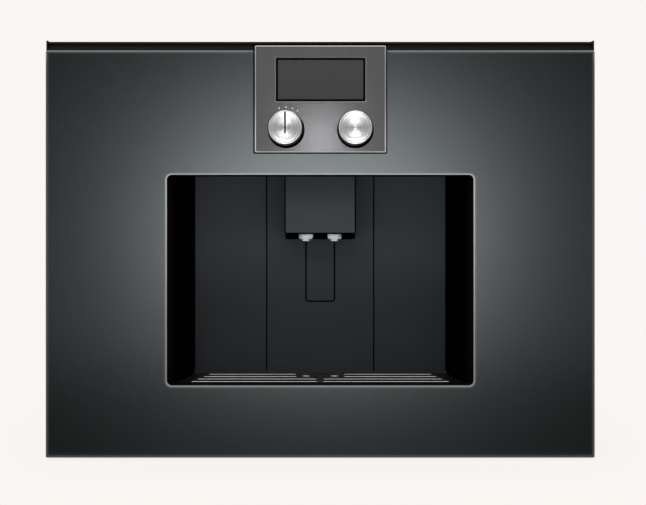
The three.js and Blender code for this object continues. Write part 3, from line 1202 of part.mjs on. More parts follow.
// Circuit board with the display block and the two rotary encoders
function makeModuleBoard() {
  const plate = box(
    [-BOARD_WIDTH / 2, BOARD_WIDTH / 2],
    [MODULE_BACK - BOARD_THICKNESS, MODULE_BACK],
    [BOARD_BOTTOM, BOARD_BOTTOM + BOARD_HEIGHT],
  );
  const display = box(
    [-DISPLAY_WIDTH / 2, DISPLAY_WIDTH / 2],
    [MODULE_FRONT + DISPLAY_DEPTH + BOARD_THICKNESS + FIT, MODULE_BACK - BOARD_THICKNESS / 2],
    [DISPLAY_Z - DISPLAY_HEIGHT / 2, BOARD_BOTTOM + BOARD_HEIGHT],
  );
  const encoders = [-KNOB_HALF_SPACING, KNOB_HALF_SPACING].map((x) => box(
    [x - ENCODER_SIZE / 2, x + ENCODER_SIZE / 2],
    [ENCODER_FRONT, MODULE_BACK - BOARD_THICKNESS / 2],
    [KNOB_Z - ENCODER_SIZE / 2, KNOB_Z + ENCODER_SIZE / 2],
  ));
  return join([plate, display, ...encoders]);
}

// Knob turned about an upright axis, its face at the top: a cup with a boss for the shaft
function makeKnobBlank() {
  const face = KNOB_LENGTH;
  const under = face - KNOB_WALL;
  const rim = KNOB_RADIUS - KNOB_WALL;
  const socket = KNOB_SHAFT_RADIUS + FIT;
  return turned([
    [0, face],
    [0, under - KNOB_WALL],
    [socket, under - KNOB_WALL],
    [socket, KNOB_WALL],
    [KNOB_BOSS_RADIUS, KNOB_WALL],
    [KNOB_BOSS_RADIUS, under],
    [rim, under],
    [rim, 0],
    [KNOB_RADIUS, 0],
    [KNOB_RADIUS, face - KNOB_BEVEL],
    [KNOB_RADIUS - KNOB_BEVEL, face],
    [0, face],
  ], 8 * ARC).rotate([90, 0, 0]);
}

// The left knob has a pointer line cut into its face
function makeLeftKnob() {
  const pointer = box(
    [-POINTER_WIDTH / 2, POINTER_WIDTH / 2],
    [-KNOB_LENGTH - CUT_MARGIN, -KNOB_LENGTH + POINTER_DEPTH],
    [-POINTER_TAIL, KNOB_RADIUS - 2 * KNOB_BEVEL],
  );
  return cut(makeKnobBlank(), [pointer]);
}

// Shaft from the encoder into the knob's boss, drawn about the back of the knob
function makeKnobShaft() {
  const front = -KNOB_LENGTH + 2 * KNOB_WALL + FIT;
  return frontCylinder(0, 0, KNOB_SHAFT_RADIUS, ENCODER_FRONT - FIT - KNOB_BACK, front, 2 * ARC);
}

// ---------------------------------------------------------------- drip tray, grid and grounds container

// A flat drawer front with a finger recess at its top edge
function makeDrawerFront([[x0, x1], [z0, z1]]) {
  const face = roundedRectangle([x0, x1], [z0, z1], DRAWER_FACE);
  const plate = frontPlate(face, FACE_BACK, DRAWER_FRONT, DRAWER_BEVEL);
  const grip = frontCylinder(
    (x0 + x1) / 2, z1, GRIP_RADIUS, DRAWER_FRONT + GRIP_DEPTH, DRAWER_FRONT - CUT_MARGIN);
  return cut(plate, [grip]);
}

function makeDripTray() {
  const back = DRAWER_BODY_FRONT + TRAY_DEPTH;
  const blank = box([TRAY_LEFT, TRAY_RIGHT], [DRAWER_BODY_FRONT, back], [TRAY_BOTTOM, TRAY_TOP]);
  const depth = [DRAWER_BODY_FRONT + TRAY_WALL, back - TRAY_WALL];
  const height = [TRAY_BOTTOM + TRAY_WALL, TRAY_TOP + CUT_MARGIN];
  const drip = box([TRAY_LEFT + TRAY_WALL, GROUNDS_LEFT - FIT - TRAY_WALL], depth, height);
  const grounds = box([GROUNDS_LEFT - FIT, TRAY_RIGHT - TRAY_WALL], depth, height);
  return cut(blank, [drip, grounds]);
}

// Rim round three sides of the grid, with a ledge that carries it
function makeTrayDeck() {
  const back = NICHE_BACK - RUNNING_GAP;
  const rim = nichePrism(DRAWER_FRONT, back, DECK_BOTTOM, DECK_TOP, -DECK_SIDE_GAP);
  const seat = makeGridBlank(GRID_BOTTOM - FIT, NICHE_FLOOR, FIT);
  const well = makeGridBlank(DECK_BOTTOM - CUT_MARGIN, NICHE_FLOOR, -GRID_BAR);
  const mouthHalf = GRID_HALF_FRONT + FIT;
  const mouthDepth = [DRAWER_FRONT - CUT_MARGIN, GRID_FRONT_Y];
  const mouth = box([-mouthHalf, mouthHalf], mouthDepth, [DECK_BOTTOM - CUT_MARGIN, NICHE_FLOOR]);
  const dishRoom = uprightCylinder(0, 0, DISH_RADIUS + FIT, GRID_BOTTOM - FIT, NICHE_FLOOR);
  return cut(rim, [seat, well, mouth, ...copies(dishRoom, dishPlaces(0))]);
}

// Both places under the nozzles at a given height
function dishPlaces(height) {
  return [-1, 1].map((side) => [side * NOZZLE_HALF_SPACING, NOZZLE_Y, height]);
}

// The trapezoid that the grid fills in plan
function makeGridBlank(z0, z1, grow) {
  const front = GRID_FRONT_Y - GRID_BAR / 2 - grow;
  const back = GRID_BACK_Y + GRID_BAR / 2 + grow;
  const plan = outline([
    [-GRID_HALF_FRONT - grow, front],
    [GRID_HALF_FRONT + grow, front],
    [GRID_HALF_BACK + grow, back],
    [-GRID_HALF_BACK - grow, back],
  ]);
  return upright(plan, z0, z1);
}

// Cross bars between two slanted side rails, a spine in the middle and a dish under each nozzle
function makeDripGrid() {
  const blank = makeGridBlank(GRID_BOTTOM, NICHE_FLOOR, 0);
  const inside = makeGridBlank(GRID_BOTTOM - CUT_MARGIN, NICHE_FLOOR + CUT_MARGIN, -GRID_BAR);
  const rails = blank.subtract(inside);
  const pitch = (GRID_BACK_Y - GRID_FRONT_Y) / (GRID_BAR_COUNT - 1);
  const height = [GRID_BOTTOM, NICHE_FLOOR];
  const bar = box([-GRID_HALF_FRONT, GRID_HALF_FRONT], [-GRID_BAR / 2, GRID_BAR / 2], height);
  const rows = spaced(GRID_BAR_COUNT - 2, pitch, (GRID_FRONT_Y + GRID_BACK_Y) / 2);
  const bars = join(copies(bar, rows.map((y) => [0, y, 0]))).intersect(blank);
  const spine = box([-GRID_SPINE / 2, GRID_SPINE / 2], [GRID_FRONT_Y, GRID_BACK_Y], height);
  const places = dishPlaces(NICHE_FLOOR);
  const dishRoom = uprightCylinder(
    0, 0, DISH_RADIUS - JOIN_OVERLAP / 2, -GRID_BAR_HEIGHT - CUT_MARGIN, CUT_MARGIN);
  const open = cut(join([rails, bars, spine]), copies(dishRoom, places));
  return join([open, ...copies(makeDish(), places)]);
}

// Shallow dish with a raised centre, its rim at height 0
function makeDish() {
  const floor = -DISH_HEIGHT / 2;
  return turned([
    [0, -DISH_HEIGHT],
    [DISH_RADIUS, -DISH_HEIGHT],
    [DISH_RADIUS, 0],
    [DISH_RADIUS - DISH_RIM, 0],
    [DISH_CENTRE_RADIUS + DISH_RAMP, floor],
    [DISH_CENTRE_RADIUS, floor],
    [DISH_CENTRE_RADIUS / 2, -2 * DISH_CENTRE_DROP],
    [0, -DISH_CENTRE_DROP],
  ]);
}

// Grounds container: a rounded bin that stands in the right end of the tray
function makeGroundsContainer() {
  const y0 = DRAWER_BODY_FRONT + TRAY_WALL + FIT;
  const z0 = TRAY_BOTTOM + TRAY_WALL + FIT;
  const outer = roundedRectangle(
    [GROUNDS_LEFT, GROUNDS_LEFT + GROUNDS_WIDTH], [y0, y0 + GROUNDS_DEPTH], BIN_RADIUS);
  const inner = roundedRectangle(
    [GROUNDS_LEFT + GROUNDS_WALL, GROUNDS_LEFT + GROUNDS_WIDTH - GROUNDS_WALL],
    [y0 + GROUNDS_WALL, y0 + GROUNDS_DEPTH - GROUNDS_WALL],
    BIN_RADIUS - GROUNDS_WALL,
  );
  const shell = upright(outer, z0, z0 + GROUNDS_HEIGHT);
  return cut(shell, [upright(inner, z0 + GROUNDS_WALL, z0 + GROUNDS_HEIGHT + CUT_MARGIN)]);
}

// ---------------------------------------------------------------- water tank and bean container

// Open tank with a valve stub low on its back wall
function makeWaterTank() {
  const back = DRAWER_BODY_FRONT + TANK_DEPTH;
  const outer = roundedRectangle([TANK_LEFT, TANK_RIGHT], [DRAWER_BODY_FRONT, back], BIN_RADIUS);
  const inner = roundedRectangle(
    [TANK_LEFT + TANK_WALL, TANK_RIGHT - TANK_WALL],
    [DRAWER_BODY_FRONT + TANK_WALL, back - TANK_WALL],
    BIN_RADIUS - TANK_WALL,
  );
  const top = DRAWER_ROW_TOP - RUNNING_GAP;
  const shell = upright(outer, DRAWER_ROW_BOTTOM, top);
  const hollow = upright(inner, DRAWER_ROW_BOTTOM + TANK_WALL, top + CUT_MARGIN);
  const x = (TANK_LEFT + TANK_RIGHT) / 2;
  const z = DRAWER_ROW_BOTTOM + VALVE_RADIUS + TANK_WALL;
  const end = back + VALVE_LENGTH;
  const flange = frontCylinder(x, z, VALVE_RADIUS, back + TANK_WALL, back - JOIN_OVERLAP);
  const stub = frontCylinder(x, z, VALVE_STUB_RADIUS, end, back);
  const bore = frontCylinder(x, z, VALVE_BORE_RADIUS, end + CUT_MARGIN, back - TANK_WALL - CUT_MARGIN);
  return cut(join([cut(shell, [hollow]), flange, stub]), [bore]);
}

// Bean container: open above, its floor slopes down to a hole in the back wall in front of the grinder
function makeBeanContainer() {
  const y0 = DRAWER_BODY_FRONT;
  const y1 = y0 + BEAN_DEPTH;
  const z0 = DRAWER_ROW_BOTTOM;
  const top = DRAWER_ROW_TOP - RUNNING_GAP;
  const blank = box([BEAN_LEFT, BEAN_RIGHT], [y0, y1], [z0, top]);
  const section = outline([
    [y0 + BEAN_WALL, top + CUT_MARGIN],
    [y0 + BEAN_WALL, z0 + BEAN_THROAT],
    [y1 - BEAN_THROAT, z0 + BEAN_WALL],
    [y1 - BEAN_WALL, z0 + BEAN_WALL],
    [y1 - BEAN_WALL, top + CUT_MARGIN],
  ]);
  const inside = crosswise(section, BEAN_LEFT + BEAN_WALL, BEAN_RIGHT - BEAN_WALL);
  const throat = frontCylinder(GRINDER_X, THROAT_Z, THROAT_RADIUS, y1 + CUT_MARGIN, y1 - BEAN_WALL - CUT_MARGIN);
  return cut(blank, [inside, throat]);
}

// ---------------------------------------------------------------- brew unit

// Frame: front plate, side walls with windows, floor and an open top, so the cylinder shows from the side
function makeBrewFrame() {
  const back = BREW_FRONT + BREW_DEPTH;
  const blank = box([BREW_LEFT, BREW_RIGHT], [BREW_FRONT, back], [BREW_BOTTOM, BREW_TOP]);
  const inside = box(
    [BREW_LEFT + BREW_WALL, BREW_RIGHT - BREW_WALL],
    [BREW_FRONT + BREW_WALL, back - BREW_WALL],
    [BREW_BOTTOM + BREW_WALL, BREW_TOP + CUT_MARGIN],
  );
  const windowHeight = (BREW_TOP - BREW_BOTTOM - 3 * BREW_BAND) / 2;
  const window = box(
    [BREW_LEFT - CUT_MARGIN, BREW_RIGHT + CUT_MARGIN],
    [BREW_FRONT + BREW_BAND, back - BREW_BAND],
    [0, windowHeight],
  );
  const windowRows = [BREW_BOTTOM + BREW_BAND, BREW_MIDDLE + BREW_BAND / 2];
  const windows = copies(window, windowRows.map((z) => [0, 0, z]));
  const pivot = frontCylinder(
    BREW_X, LEVER_Z, LEVER_PIVOT_RADIUS + FIT, BREW_FRONT + BREW_WALL + CUT_MARGIN, BREW_FRONT - CUT_MARGIN);
  const groundsDrop = uprightCylinder(
    BREW_X, DROP_Y, PISTON_RADIUS, BREW_BOTTOM - CUT_MARGIN, BREW_BOTTOM + BREW_WALL + CUT_MARGIN);
  return cut(blank, [inside, ...windows, pivot, groundsDrop]);
}

// Brewing cylinder: an open tube with a flange that hangs between the side walls
function makeBrewCylinder() {
  const bottom = BREW_MIDDLE - CYLINDER_HEIGHT / 2;
  const top = BREW_MIDDLE + CYLINDER_HEIGHT / 2;
  const inner = CYLINDER_RADIUS - CYLINDER_WALL;
  const flange = BREW_WIDTH / 2 - BREW_WALL - FIT;
  return turned([
    [inner, bottom],
    [CYLINDER_RADIUS, bottom],
    [CYLINDER_RADIUS, top - 2 * CYLINDER_WALL],
    [flange, top - CYLINDER_WALL],
    [flange, top],
    [inner + CYLINDER_WALL / 2, top],
    [inner, top - CYLINDER_WALL],
    [inner, bottom],
  ]).translate([BREW_X, CYLINDER_Y, 0]);
}

// Piston in the middle of the cylinder, on a rod that stands on a cross bar on the floor of the frame
function makeBrewPiston() {
  const floor = BREW_BOTTOM + BREW_WALL + FIT;
  const head = uprightCylinder(0, 0, PISTON_RADIUS, BREW_MIDDLE - PISTON_HEIGHT, BREW_MIDDLE);
  const rod = uprightCylinder(0, 0, PISTON_ROD_RADIUS, floor, BREW_MIDDLE - PISTON_HEIGHT / 2);
  const crossBar = box(
    [-BREW_WIDTH / 2 + BREW_WALL + FIT, BREW_WIDTH / 2 - BREW_WALL - FIT],
    [-PISTON_ROD_RADIUS, PISTON_ROD_RADIUS],
    [floor, floor + PISTON_ROD_RADIUS],
  );
  return join([head, rod, crossBar]).translate([BREW_X, CYLINDER_Y, 0]);
}

// Latch lever drawn about its pivot: a hub with a stub axle behind and a tapering handle
function makeBrewLever() {
  const front = -FIT - LEVER_THICKNESS;
  const hub = frontCylinder(0, 0, LEVER_HUB_RADIUS, -FIT, front);
  const axle = frontCylinder(0, 0, LEVER_PIVOT_RADIUS, 2 * BREW_WALL, -FIT - JOIN_OVERLAP);
  const side = outline([
    [-LEVER_WIDTH / 2, 0],
    [LEVER_WIDTH / 2, 0],
    [LEVER_TIP_WIDTH / 2, LEVER_LENGTH],
    [-LEVER_TIP_WIDTH / 2, LEVER_LENGTH],
  ]);
  return join([hub, axle, frontPlate(side, -FIT, front)]);
}

// ---------------------------------------------------------------- assembly

function addHousing() {
  const housing = addGroup(machine);
  addPiece(housing, 'base_pan', makeBasePan(), finishes.steel);
  addPiece(housing, 'left_side_panel', makeSidePanel(-1), finishes.steel);
  addPiece(housing, 'right_side_panel', makeSidePanel(1), finishes.steel);
  addPiece(housing, 'rear_panel', makeRearPanel(), finishes.steel);
  addPiece(housing, 'top_panel', makeTopPanel(), finishes.steel);
  addPiece(housing, 'front_frame', makeFrontFrame(), finishes.darkPlastic);
  addPiece(housing, 'vent_strip', makeVentStrip(), finishes.blackPlastic);
  addPiece(housing, 'inner_chassis', makeChassis(), finishes.greyPlastic);
  addPiece(housing, 'lower_hinge_arm', makeHingeArm(), finishes.steel, [HINGE_X, HINGE_Y, HINGE_ARMS.lower]);
  addPiece(housing, 'upper_hinge_arm', makeHingeArm(), finishes.steel, [HINGE_X, HINGE_Y, HINGE_ARMS.upper]);
  addPiece(housing, 'catch_magnet', makeCatchMagnet(), finishes.blackPlastic);
  const leftRunnerX = TRAY_LEFT + TRAY_RUNNER_INSET;
  const rightRunnerX = TRAY_RIGHT - TRAY_RUNNER_INSET - TRAY_RUNNER_WIDTH;
  addPiece(housing, 'left_tray_runner', makeTrayRunner(leftRunnerX), finishes.greyPlastic);
  addPiece(housing, 'right_tray_runner', makeTrayRunner(rightRunnerX), finishes.greyPlastic);
}

function addNiche() {
  const niche = addGroup(machine);
  const edge = nicheHalf(NICHE_BACK + PANEL_THICKNESS) - FIT;
  const seam = CENTRE_PANEL_HALF + PANEL_SEAM / 2;
  addPiece(niche, 'niche_liner', makeNicheLiner(), finishes.blackPlastic);
  addPiece(niche, 'left_niche_panel', makeNichePanel(-edge, -seam), finishes.darkPlastic);
  addPiece(niche, 'centre_niche_panel', makeCentrePanel(), finishes.darkPlastic);
  addPiece(niche, 'right_niche_panel', makeNichePanel(seam, edge), finishes.darkPlastic);
  addPiece(niche, 'outlet_rail', makeOutletRail(), finishes.steel);
}

function addMachinery() {
  const machinery = addGroup(machine);
  addPiece(machinery, 'grinder_housing', makeGrinder(), finishes.blackPlastic);
  addPiece(machinery, 'grinder_motor', makeGrinderMotor(), finishes.steel);
  addPiece(machinery, 'coffee_chute', makeChute(), finishes.darkPlastic);
  addPiece(machinery, 'pump', makePump(), finishes.greyPlastic);
  addPiece(machinery, 'thermoblock', makeThermoblock(), finishes.aluminium);
  addPiece(machinery, 'control_board', makeControlBoard(), finishes.board);
  addPiece(machinery, 'power_inlet', makePowerInlet(), finishes.blackPlastic);
  addPiece(machinery, 'switch_body', makeSwitchBody(), finishes.blackPlastic);
  const dialPlace = [DIAL_X, BODY_FRONT + FIT, DIAL_Z];
  addPiece(machinery, 'grind_dial', makeGrindDial(), finishes.blackPlastic, dialPlace);
  const rocker = addGroup(machinery);
  rocker.position.set(ROCKER_X, ROCKER_Y, ROCKER_Z);
  rocker.rotation.x = THREE.MathUtils.degToRad(ROCKER_TILT);
  addPiece(rocker, 'power_rocker', makeRocker(), finishes.blackPlastic);
}

function addOutlet() {
  const outlet = addGroup(machine);
  const nozzleTop = OUTLET_BOTTOM - BLOCK_DROP - FIT;
  addPiece(outlet, 'outlet_carriage', makeOutletCarriage(), finishes.blackPlastic);
  addPiece(outlet, 'outlet_cover', makeOutletCover(), finishes.darkPlastic);
  addPiece(outlet, 'left_nozzle', makeNozzle(), finishes.chrome, [-NOZZLE_HALF_SPACING, NOZZLE_Y, nozzleTop]);
  addPiece(outlet, 'right_nozzle', makeNozzle(), finishes.chrome, [NOZZLE_HALF_SPACING, NOZZLE_Y, nozzleTop]);
}

function addDoor() {
  const door = addGroup(machine);
  addPiece(door, 'door_glass', makeDoorGlass(), finishes.anthraciteGlass);
  addPiece(door, 'door_frame', makeDoorFrame(), finishes.blackPlastic);
  addPiece(door, 'door_cover', makeDoorCover(), finishes.darkPlastic);
  addPiece(door, 'door_seal', makeDoorSeal(), finishes.rubber);
  addPiece(door, 'catch_plate', makeCatchPlate(), finishes.steel);
  const pin = uprightCylinder(0, 0, HINGE_PIN_RADIUS, 0, HINGE_PIN_LENGTH, 4 * ARC);
  addPiece(door, 'lower_hinge_pin', pin, finishes.steel, [HINGE_X, HINGE_Y, pinBottom(HINGE_ARMS.lower)]);
  addPiece(door, 'upper_hinge_pin', pin, finishes.steel, [HINGE_X, HINGE_Y, pinBottom(HINGE_ARMS.upper)]);
  addPiece(door, 'module_shell', makeModuleShell(), finishes.brushedSteel);
  addPiece(door, 'display_frame', makeDisplayFrame(), finishes.blackPlastic);
  addPiece(door, 'display_window', makeDisplayWindow(), finishes.blackGlass);
  addPiece(door, 'module_board', makeModuleBoard(), finishes.board);
}

function addKnob(side, name, blank) {
  const knob = addGroup(machine);
  knob.position.set(side * KNOB_HALF_SPACING, KNOB_BACK, KNOB_Z);
  addPiece(knob, `${name}_knob`, blank, finishes.brushedSteel);
  addPiece(knob, `${name}_knob_shaft`, makeKnobShaft(), finishes.steel);
}

function addDrawers() {
  const drawers = addGroup(machine);
  addPiece(drawers, 'drip_tray', makeDripTray(), finishes.blackPlastic);
  addPiece(drawers, 'tray_front', makeDrawerFront(BAYS.tray), finishes.darkPlastic);
  addPiece(drawers, 'tray_deck', makeTrayDeck(), finishes.blackPlastic);
  addPiece(drawers, 'drip_grid', makeDripGrid(), finishes.brushedSteel);
  addPiece(drawers, 'grounds_container', makeGroundsContainer(), finishes.blackPlastic);
  addPiece(drawers, 'water_tank', makeWaterTank(), finishes.clearPlastic);
  addPiece(drawers, 'tank_front', makeDrawerFront(BAYS.tank), finishes.darkPlastic);
  addPiece(drawers, 'bean_container', makeBeanContainer(), finishes.clearPlastic);
  addPiece(drawers, 'bean_front', makeDrawerFront(BAYS.beans), finishes.darkPlastic);
}

function addBrewUnit() {
  const brew = addGroup(machine);
  addPiece(brew, 'brew_frame', makeBrewFrame(), finishes.blackPlastic);
  addPiece(brew, 'brew_cylinder', makeBrewCylinder(), finishes.greyPlastic);
  addPiece(brew, 'brew_piston', makeBrewPiston(), finishes.greyPlastic);
  addPiece(brew, 'brew_lever', makeBrewLever(), finishes.greyPlastic, [BREW_X, BREW_FRONT, LEVER_Z]);
}

addHousing();
addNiche();
addMachinery();
addOutlet();
addDoor();
addKnob(-1, 'left', makeLeftKnob());
addKnob(1, 'right', makeKnobBlank());
addDrawers();
addBrewUnit();

export default machine;
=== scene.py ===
"""A built-in coffee machine, dressed for its portrait.

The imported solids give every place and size. This script builds the surfaces that a close look needs, such as
the bevelled pane, the spun knobs and the drip grate, gives every other solid its finish, and sets the studio
round it.
"""

import logging
import math
from dataclasses import dataclass, field, replace
from enum import Enum
from typing import Any, Sequence

import bmesh
import bpy
import numpy as np
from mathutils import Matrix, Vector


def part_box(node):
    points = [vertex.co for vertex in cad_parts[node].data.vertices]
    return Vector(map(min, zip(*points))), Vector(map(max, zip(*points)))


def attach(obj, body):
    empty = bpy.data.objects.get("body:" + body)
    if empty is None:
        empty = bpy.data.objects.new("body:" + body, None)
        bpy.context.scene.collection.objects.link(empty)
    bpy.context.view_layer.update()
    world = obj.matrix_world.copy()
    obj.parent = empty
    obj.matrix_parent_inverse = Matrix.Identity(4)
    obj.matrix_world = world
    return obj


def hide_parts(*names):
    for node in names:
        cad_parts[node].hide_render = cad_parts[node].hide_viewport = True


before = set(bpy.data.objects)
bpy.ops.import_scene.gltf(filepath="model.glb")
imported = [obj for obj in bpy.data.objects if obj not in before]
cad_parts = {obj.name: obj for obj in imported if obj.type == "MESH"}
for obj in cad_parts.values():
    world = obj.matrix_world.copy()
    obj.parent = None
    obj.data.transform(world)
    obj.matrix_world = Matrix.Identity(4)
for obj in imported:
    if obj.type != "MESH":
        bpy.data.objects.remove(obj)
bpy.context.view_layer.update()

MM = 0.001
NOISE_MEAN = 0.5
SHEET_EDGE = 0.3 * MM
REAR_SHEET_EDGE = 0.2 * MM
LOG = logging.getLogger("coffee_machine")
Vector3 = tuple[float, float, float]
Pair = tuple[float, float]


# ---------------------------------------------------------------- shader maths

class Texture(Enum):
    """How busy a noise is: its detail, and the weight of each finer step."""

    BLOCKS = (0.0, 0.5)
    RINGS = (1.0, 0.5)
    EVEN = (2.0, 0.5)
    CLOUDY = (3.0, 0.5)
    CLOTH = (3.0, 0.6)
    GRITTY = (2.0, 0.7)
    PITTED = (4.0, 0.7)


class Grain(Enum):
    """The direction of a drawn-out pattern, as the scale of each axis."""

    BRUSHED_ALONG_X = (0.02, 1.0, 1.0)
    BRUSHED_ALONG_Y = (1.0, 0.02, 1.0)
    UPRIGHT_STREAKS = (1.0, 1.0, 0.04)
    UPRIGHT_FLOW = (1.0, 1.0, 0.3)


class Wire:
    """A node's output that Python's operators can work on."""

    def __init__(self, graph: "Graph", socket: bpy.types.NodeSocket) -> None:
        """Keeps the socket and the graph that new nodes go into."""
        self.graph = graph
        self.socket = socket

    def _math(self, operation: str, *values: "Wire | float") -> "Wire":
        """Adds one Math node that works on the given values in order."""
        inputs = dict(enumerate(values))
        return self.graph.add("ShaderNodeMath", {"operation": operation}, inputs)

    def __add__(self, other: "Wire | float") -> "Wire":
        """Sum."""
        return self._math("ADD", self, other)

    def __radd__(self, other: float) -> "Wire":
        """Sum with a number on the left."""
        return self._math("ADD", other, self)

    def __sub__(self, other: "Wire | float") -> "Wire":
        """Difference."""
        return self._math("SUBTRACT", self, other)

    def __rsub__(self, other: float) -> "Wire":
        """Difference with a number on the left."""
        return self._math("SUBTRACT", other, self)

    def __mul__(self, other: "Wire | float") -> "Wire":
        """Product."""
        return self._math("MULTIPLY", self, other)

    def __rmul__(self, other: float) -> "Wire":
        """Product with a number on the left."""
        return self._math("MULTIPLY", other, self)

    def __pow__(self, other: float) -> "Wire":
        """Power."""
        return self._math("POWER", self, other)

    def above(self, limit: float) -> "Wire":
        """One where the value is over the limit, and nought elsewhere."""
        return self._math("GREATER_THAN", self, limit)

    def most(self, other: "Wire | float") -> "Wire":
        """The larger of two values."""
        return self._math("MAXIMUM", self, other)

    def size(self) -> "Wire":
        """The value without its sign."""
        return self._math("ABSOLUTE", self)

    def repeat(self, step: float) -> "Wire":
        """The distance to the nearest multiple of a step."""
        return self._math("PINGPONG", self, step / 2)

    def root(self) -> "Wire":
        """Square root."""
        return self._math("SQRT", self)

    def swing(self, amount: float) -> "Wire":
        """How far a noise is from its mean, times an amount."""
        return (self - NOISE_MEAN) * amount


class Graph:
    """The node tree of one material or of the world."""

    def __init__(self, tree: bpy.types.NodeTree) -> None:
        """Empties the tree."""
        self.tree = tree
        self.tree.nodes.clear()

    def add(
        self,
        kind: str,
        settings: dict[str, Any] | None = None,
        inputs: dict[str | int, Any] | None = None,
        output: str | int = 0,
    ) -> Wire:
        """Adds a node, sets its properties first and then the values or links of its sockets.

        Args:
            kind: The node type's own name.
            settings: Properties of the node by name.
            inputs: Values or wires by the socket's name or number.
            output: The output that the returned wire stands for.

        Returns:
            The chosen output.
        """
        node = self.tree.nodes.new(kind)
        for name, value in (settings or {}).items():
            setattr(node, name, value)
        for name, value in (inputs or {}).items():
            if isinstance(value, Wire):
                self.tree.links.new(value.socket, node.inputs[name])
            else:
                node.inputs[name].default_value = value
        return Wire(self, node.outputs[output]) if len(node.outputs) else Wire(self, node.inputs[0])

    def place(self) -> Wire:
        """The point in the object's own frame."""
        return self.add("ShaderNodeTexCoord", output="Object")

    def axes(self, vector: Wire) -> tuple[Wire, Wire, Wire]:
        """The three parts of a vector."""
        node = self.add("ShaderNodeSeparateXYZ", inputs={0: vector}).socket.node
        return tuple(Wire(self, part) for part in node.outputs)

    def height(self) -> Wire:
        """The height of the point over the floor."""
        return self.axes(self.place())[-1]

    def facing(self) -> Wire:
        """The surface's own normal."""
        return self.add("ShaderNodeNewGeometry", output="Normal")

    def rays(self, *kinds: str) -> tuple[Wire, ...]:
        """Whether the ray is of each kind."""
        return tuple(self.add("ShaderNodeLightPath", output=f"Is {kind} Ray") for kind in kinds)

    def vector(self, x: Wire | float, y: Wire | float, z: Wire | float) -> Wire:
        """A vector of three parts."""
        return self.add("ShaderNodeCombineXYZ", inputs={0: x, 1: y, 2: z})

    def stretched(self, grain: Grain) -> Wire:
        """The point in the object's own frame, scaled by axis."""
        return self.add("ShaderNodeMapping", inputs={"Vector": self.place(), "Scale": grain.value})

    def noise(self, vector: Wire, size: float, texture: Texture = Texture.EVEN) -> Wire:
        """Smooth noise about its mean.

        Args:
            vector: Where the noise is read.
            size: How large its grains are.
            texture: How busy it is.

        Returns:
            A value between nought and one.
        """
        detail, rough = texture.value
        inputs = {"Vector": vector, "Scale": 1 / size, "Detail": detail, "Roughness": rough}
        return self.add("ShaderNodeTexNoise", {"noise_dimensions": "3D"}, inputs, "Fac")

    def mix(self, share: Wire, low: Sequence[float], high: Sequence[float]) -> Wire:
        """A colour between two colours; the node's colour sockets are the seventh and the eighth."""
        inputs = {"Factor": share, 6: (*low, 1.0), 7: (*high, 1.0)}
        return self.add("ShaderNodeMix", {"data_type": "RGBA"}, inputs, 2)

    def smooth(self, value: Wire, low: float, high: float, out: Pair = (0.0, 1.0)) -> Wire:
        """A value that eases from one level to another between two limits."""
        inputs = {"Value": value, "From Min": low, "From Max": high, "To Min": out[0], "To Max": out[1]}
        return self.add("ShaderNodeMapRange", {"interpolation_type": "SMOOTHSTEP"}, inputs)

    def vector_math(self, operation: str, *values: Any, output: int = 0) -> Wire:
        """One Vector Math node on the given values in order."""
        return self.add("ShaderNodeVectorMath", {"operation": operation}, dict(enumerate(values)), output)

    def scaled(self, colour: Wire, gain: Wire) -> Wire:
        """A colour times a gain."""
        return self.vector_math("MULTIPLY", colour, self.vector(gain, gain, gain))

    def bump(self, height: Wire, depth: float, under: Wire | None = None) -> Wire:
        """A surface normal tilted by a height, whose full step is depth metres, over another normal."""
        inputs = {"Height": height, "Distance": depth} | ({"Normal": under} if under else {})
        return self.add("ShaderNodeBump", inputs=inputs)

    def tilted(self, direction: Wire | Vector3, amount: Wire) -> Wire:
        """The surface normal leaned along a direction, as fine scratches lean it.

        Args:
            direction: The direction in which the normal leans.
            amount: How far it leans.

        Returns:
            The leaned normal: normal + amount x direction, made one long.
        """
        normal = self.facing()
        lean = self.vector_math("SCALE", direction)
        self.tree.links.new(amount.socket, lean.socket.node.inputs["Scale"])
        return self.vector_math("NORMALIZE", self.vector_math("ADD", normal, lean))


# ---------------------------------------------------------------- finishes

@dataclass(frozen=True)
class Finish:
    """A surface finish; a subclass paints what is its own over this plain coat."""

    name: str
    colour: Vector3
    roughness: float = 0.5
    metallic: float = 0.0
    specular: float = 0.5
    tint: Vector3 = (1.0, 1.0, 1.0)

    def material(self) -> bpy.types.Material:
        """Makes the finish's material once and hands the same one out after that.

        Returns:
            The material.
        """
        known = bpy.data.materials.get(self.name)
        if known is not None:
            return known
        material = bpy.data.materials.new(self.name)
        material.use_nodes = True
        material.diffuse_color = (*self.colour, 1.0)
        graph = Graph(material.node_tree)
        shader = graph.add("ShaderNodeBsdfPrincipled", inputs=self.constants())
        for socket, wire in self.paint(graph).items():
            graph.tree.links.new(wire.socket, shader.socket.node.inputs[socket])
        graph.add("ShaderNodeOutputMaterial", inputs={"Surface": shader})
        return material

    def constants(self) -> dict[str, Any]:
        """The values that are the same all over the surface, by socket name."""
        return {
            "Base Color": (*self.colour, 1.0),
            "Roughness": self.roughness,
            "Metallic": self.metallic,
            "Specular IOR Level": self.specular,
            "Specular Tint": (*self.tint, 1.0),
        }

    def paint(self, graph: Graph) -> dict[str, Wire]:
        """What changes over the surface, by socket name."""
        raise NotImplementedError

    def shades(self, spread: float) -> tuple[Vector3, Vector3]:
        """The colour made darker and lighter by a share."""
        return tuple(tuple(part * (1 + sign * spread) for part in self.colour) for sign in (-1, 1))


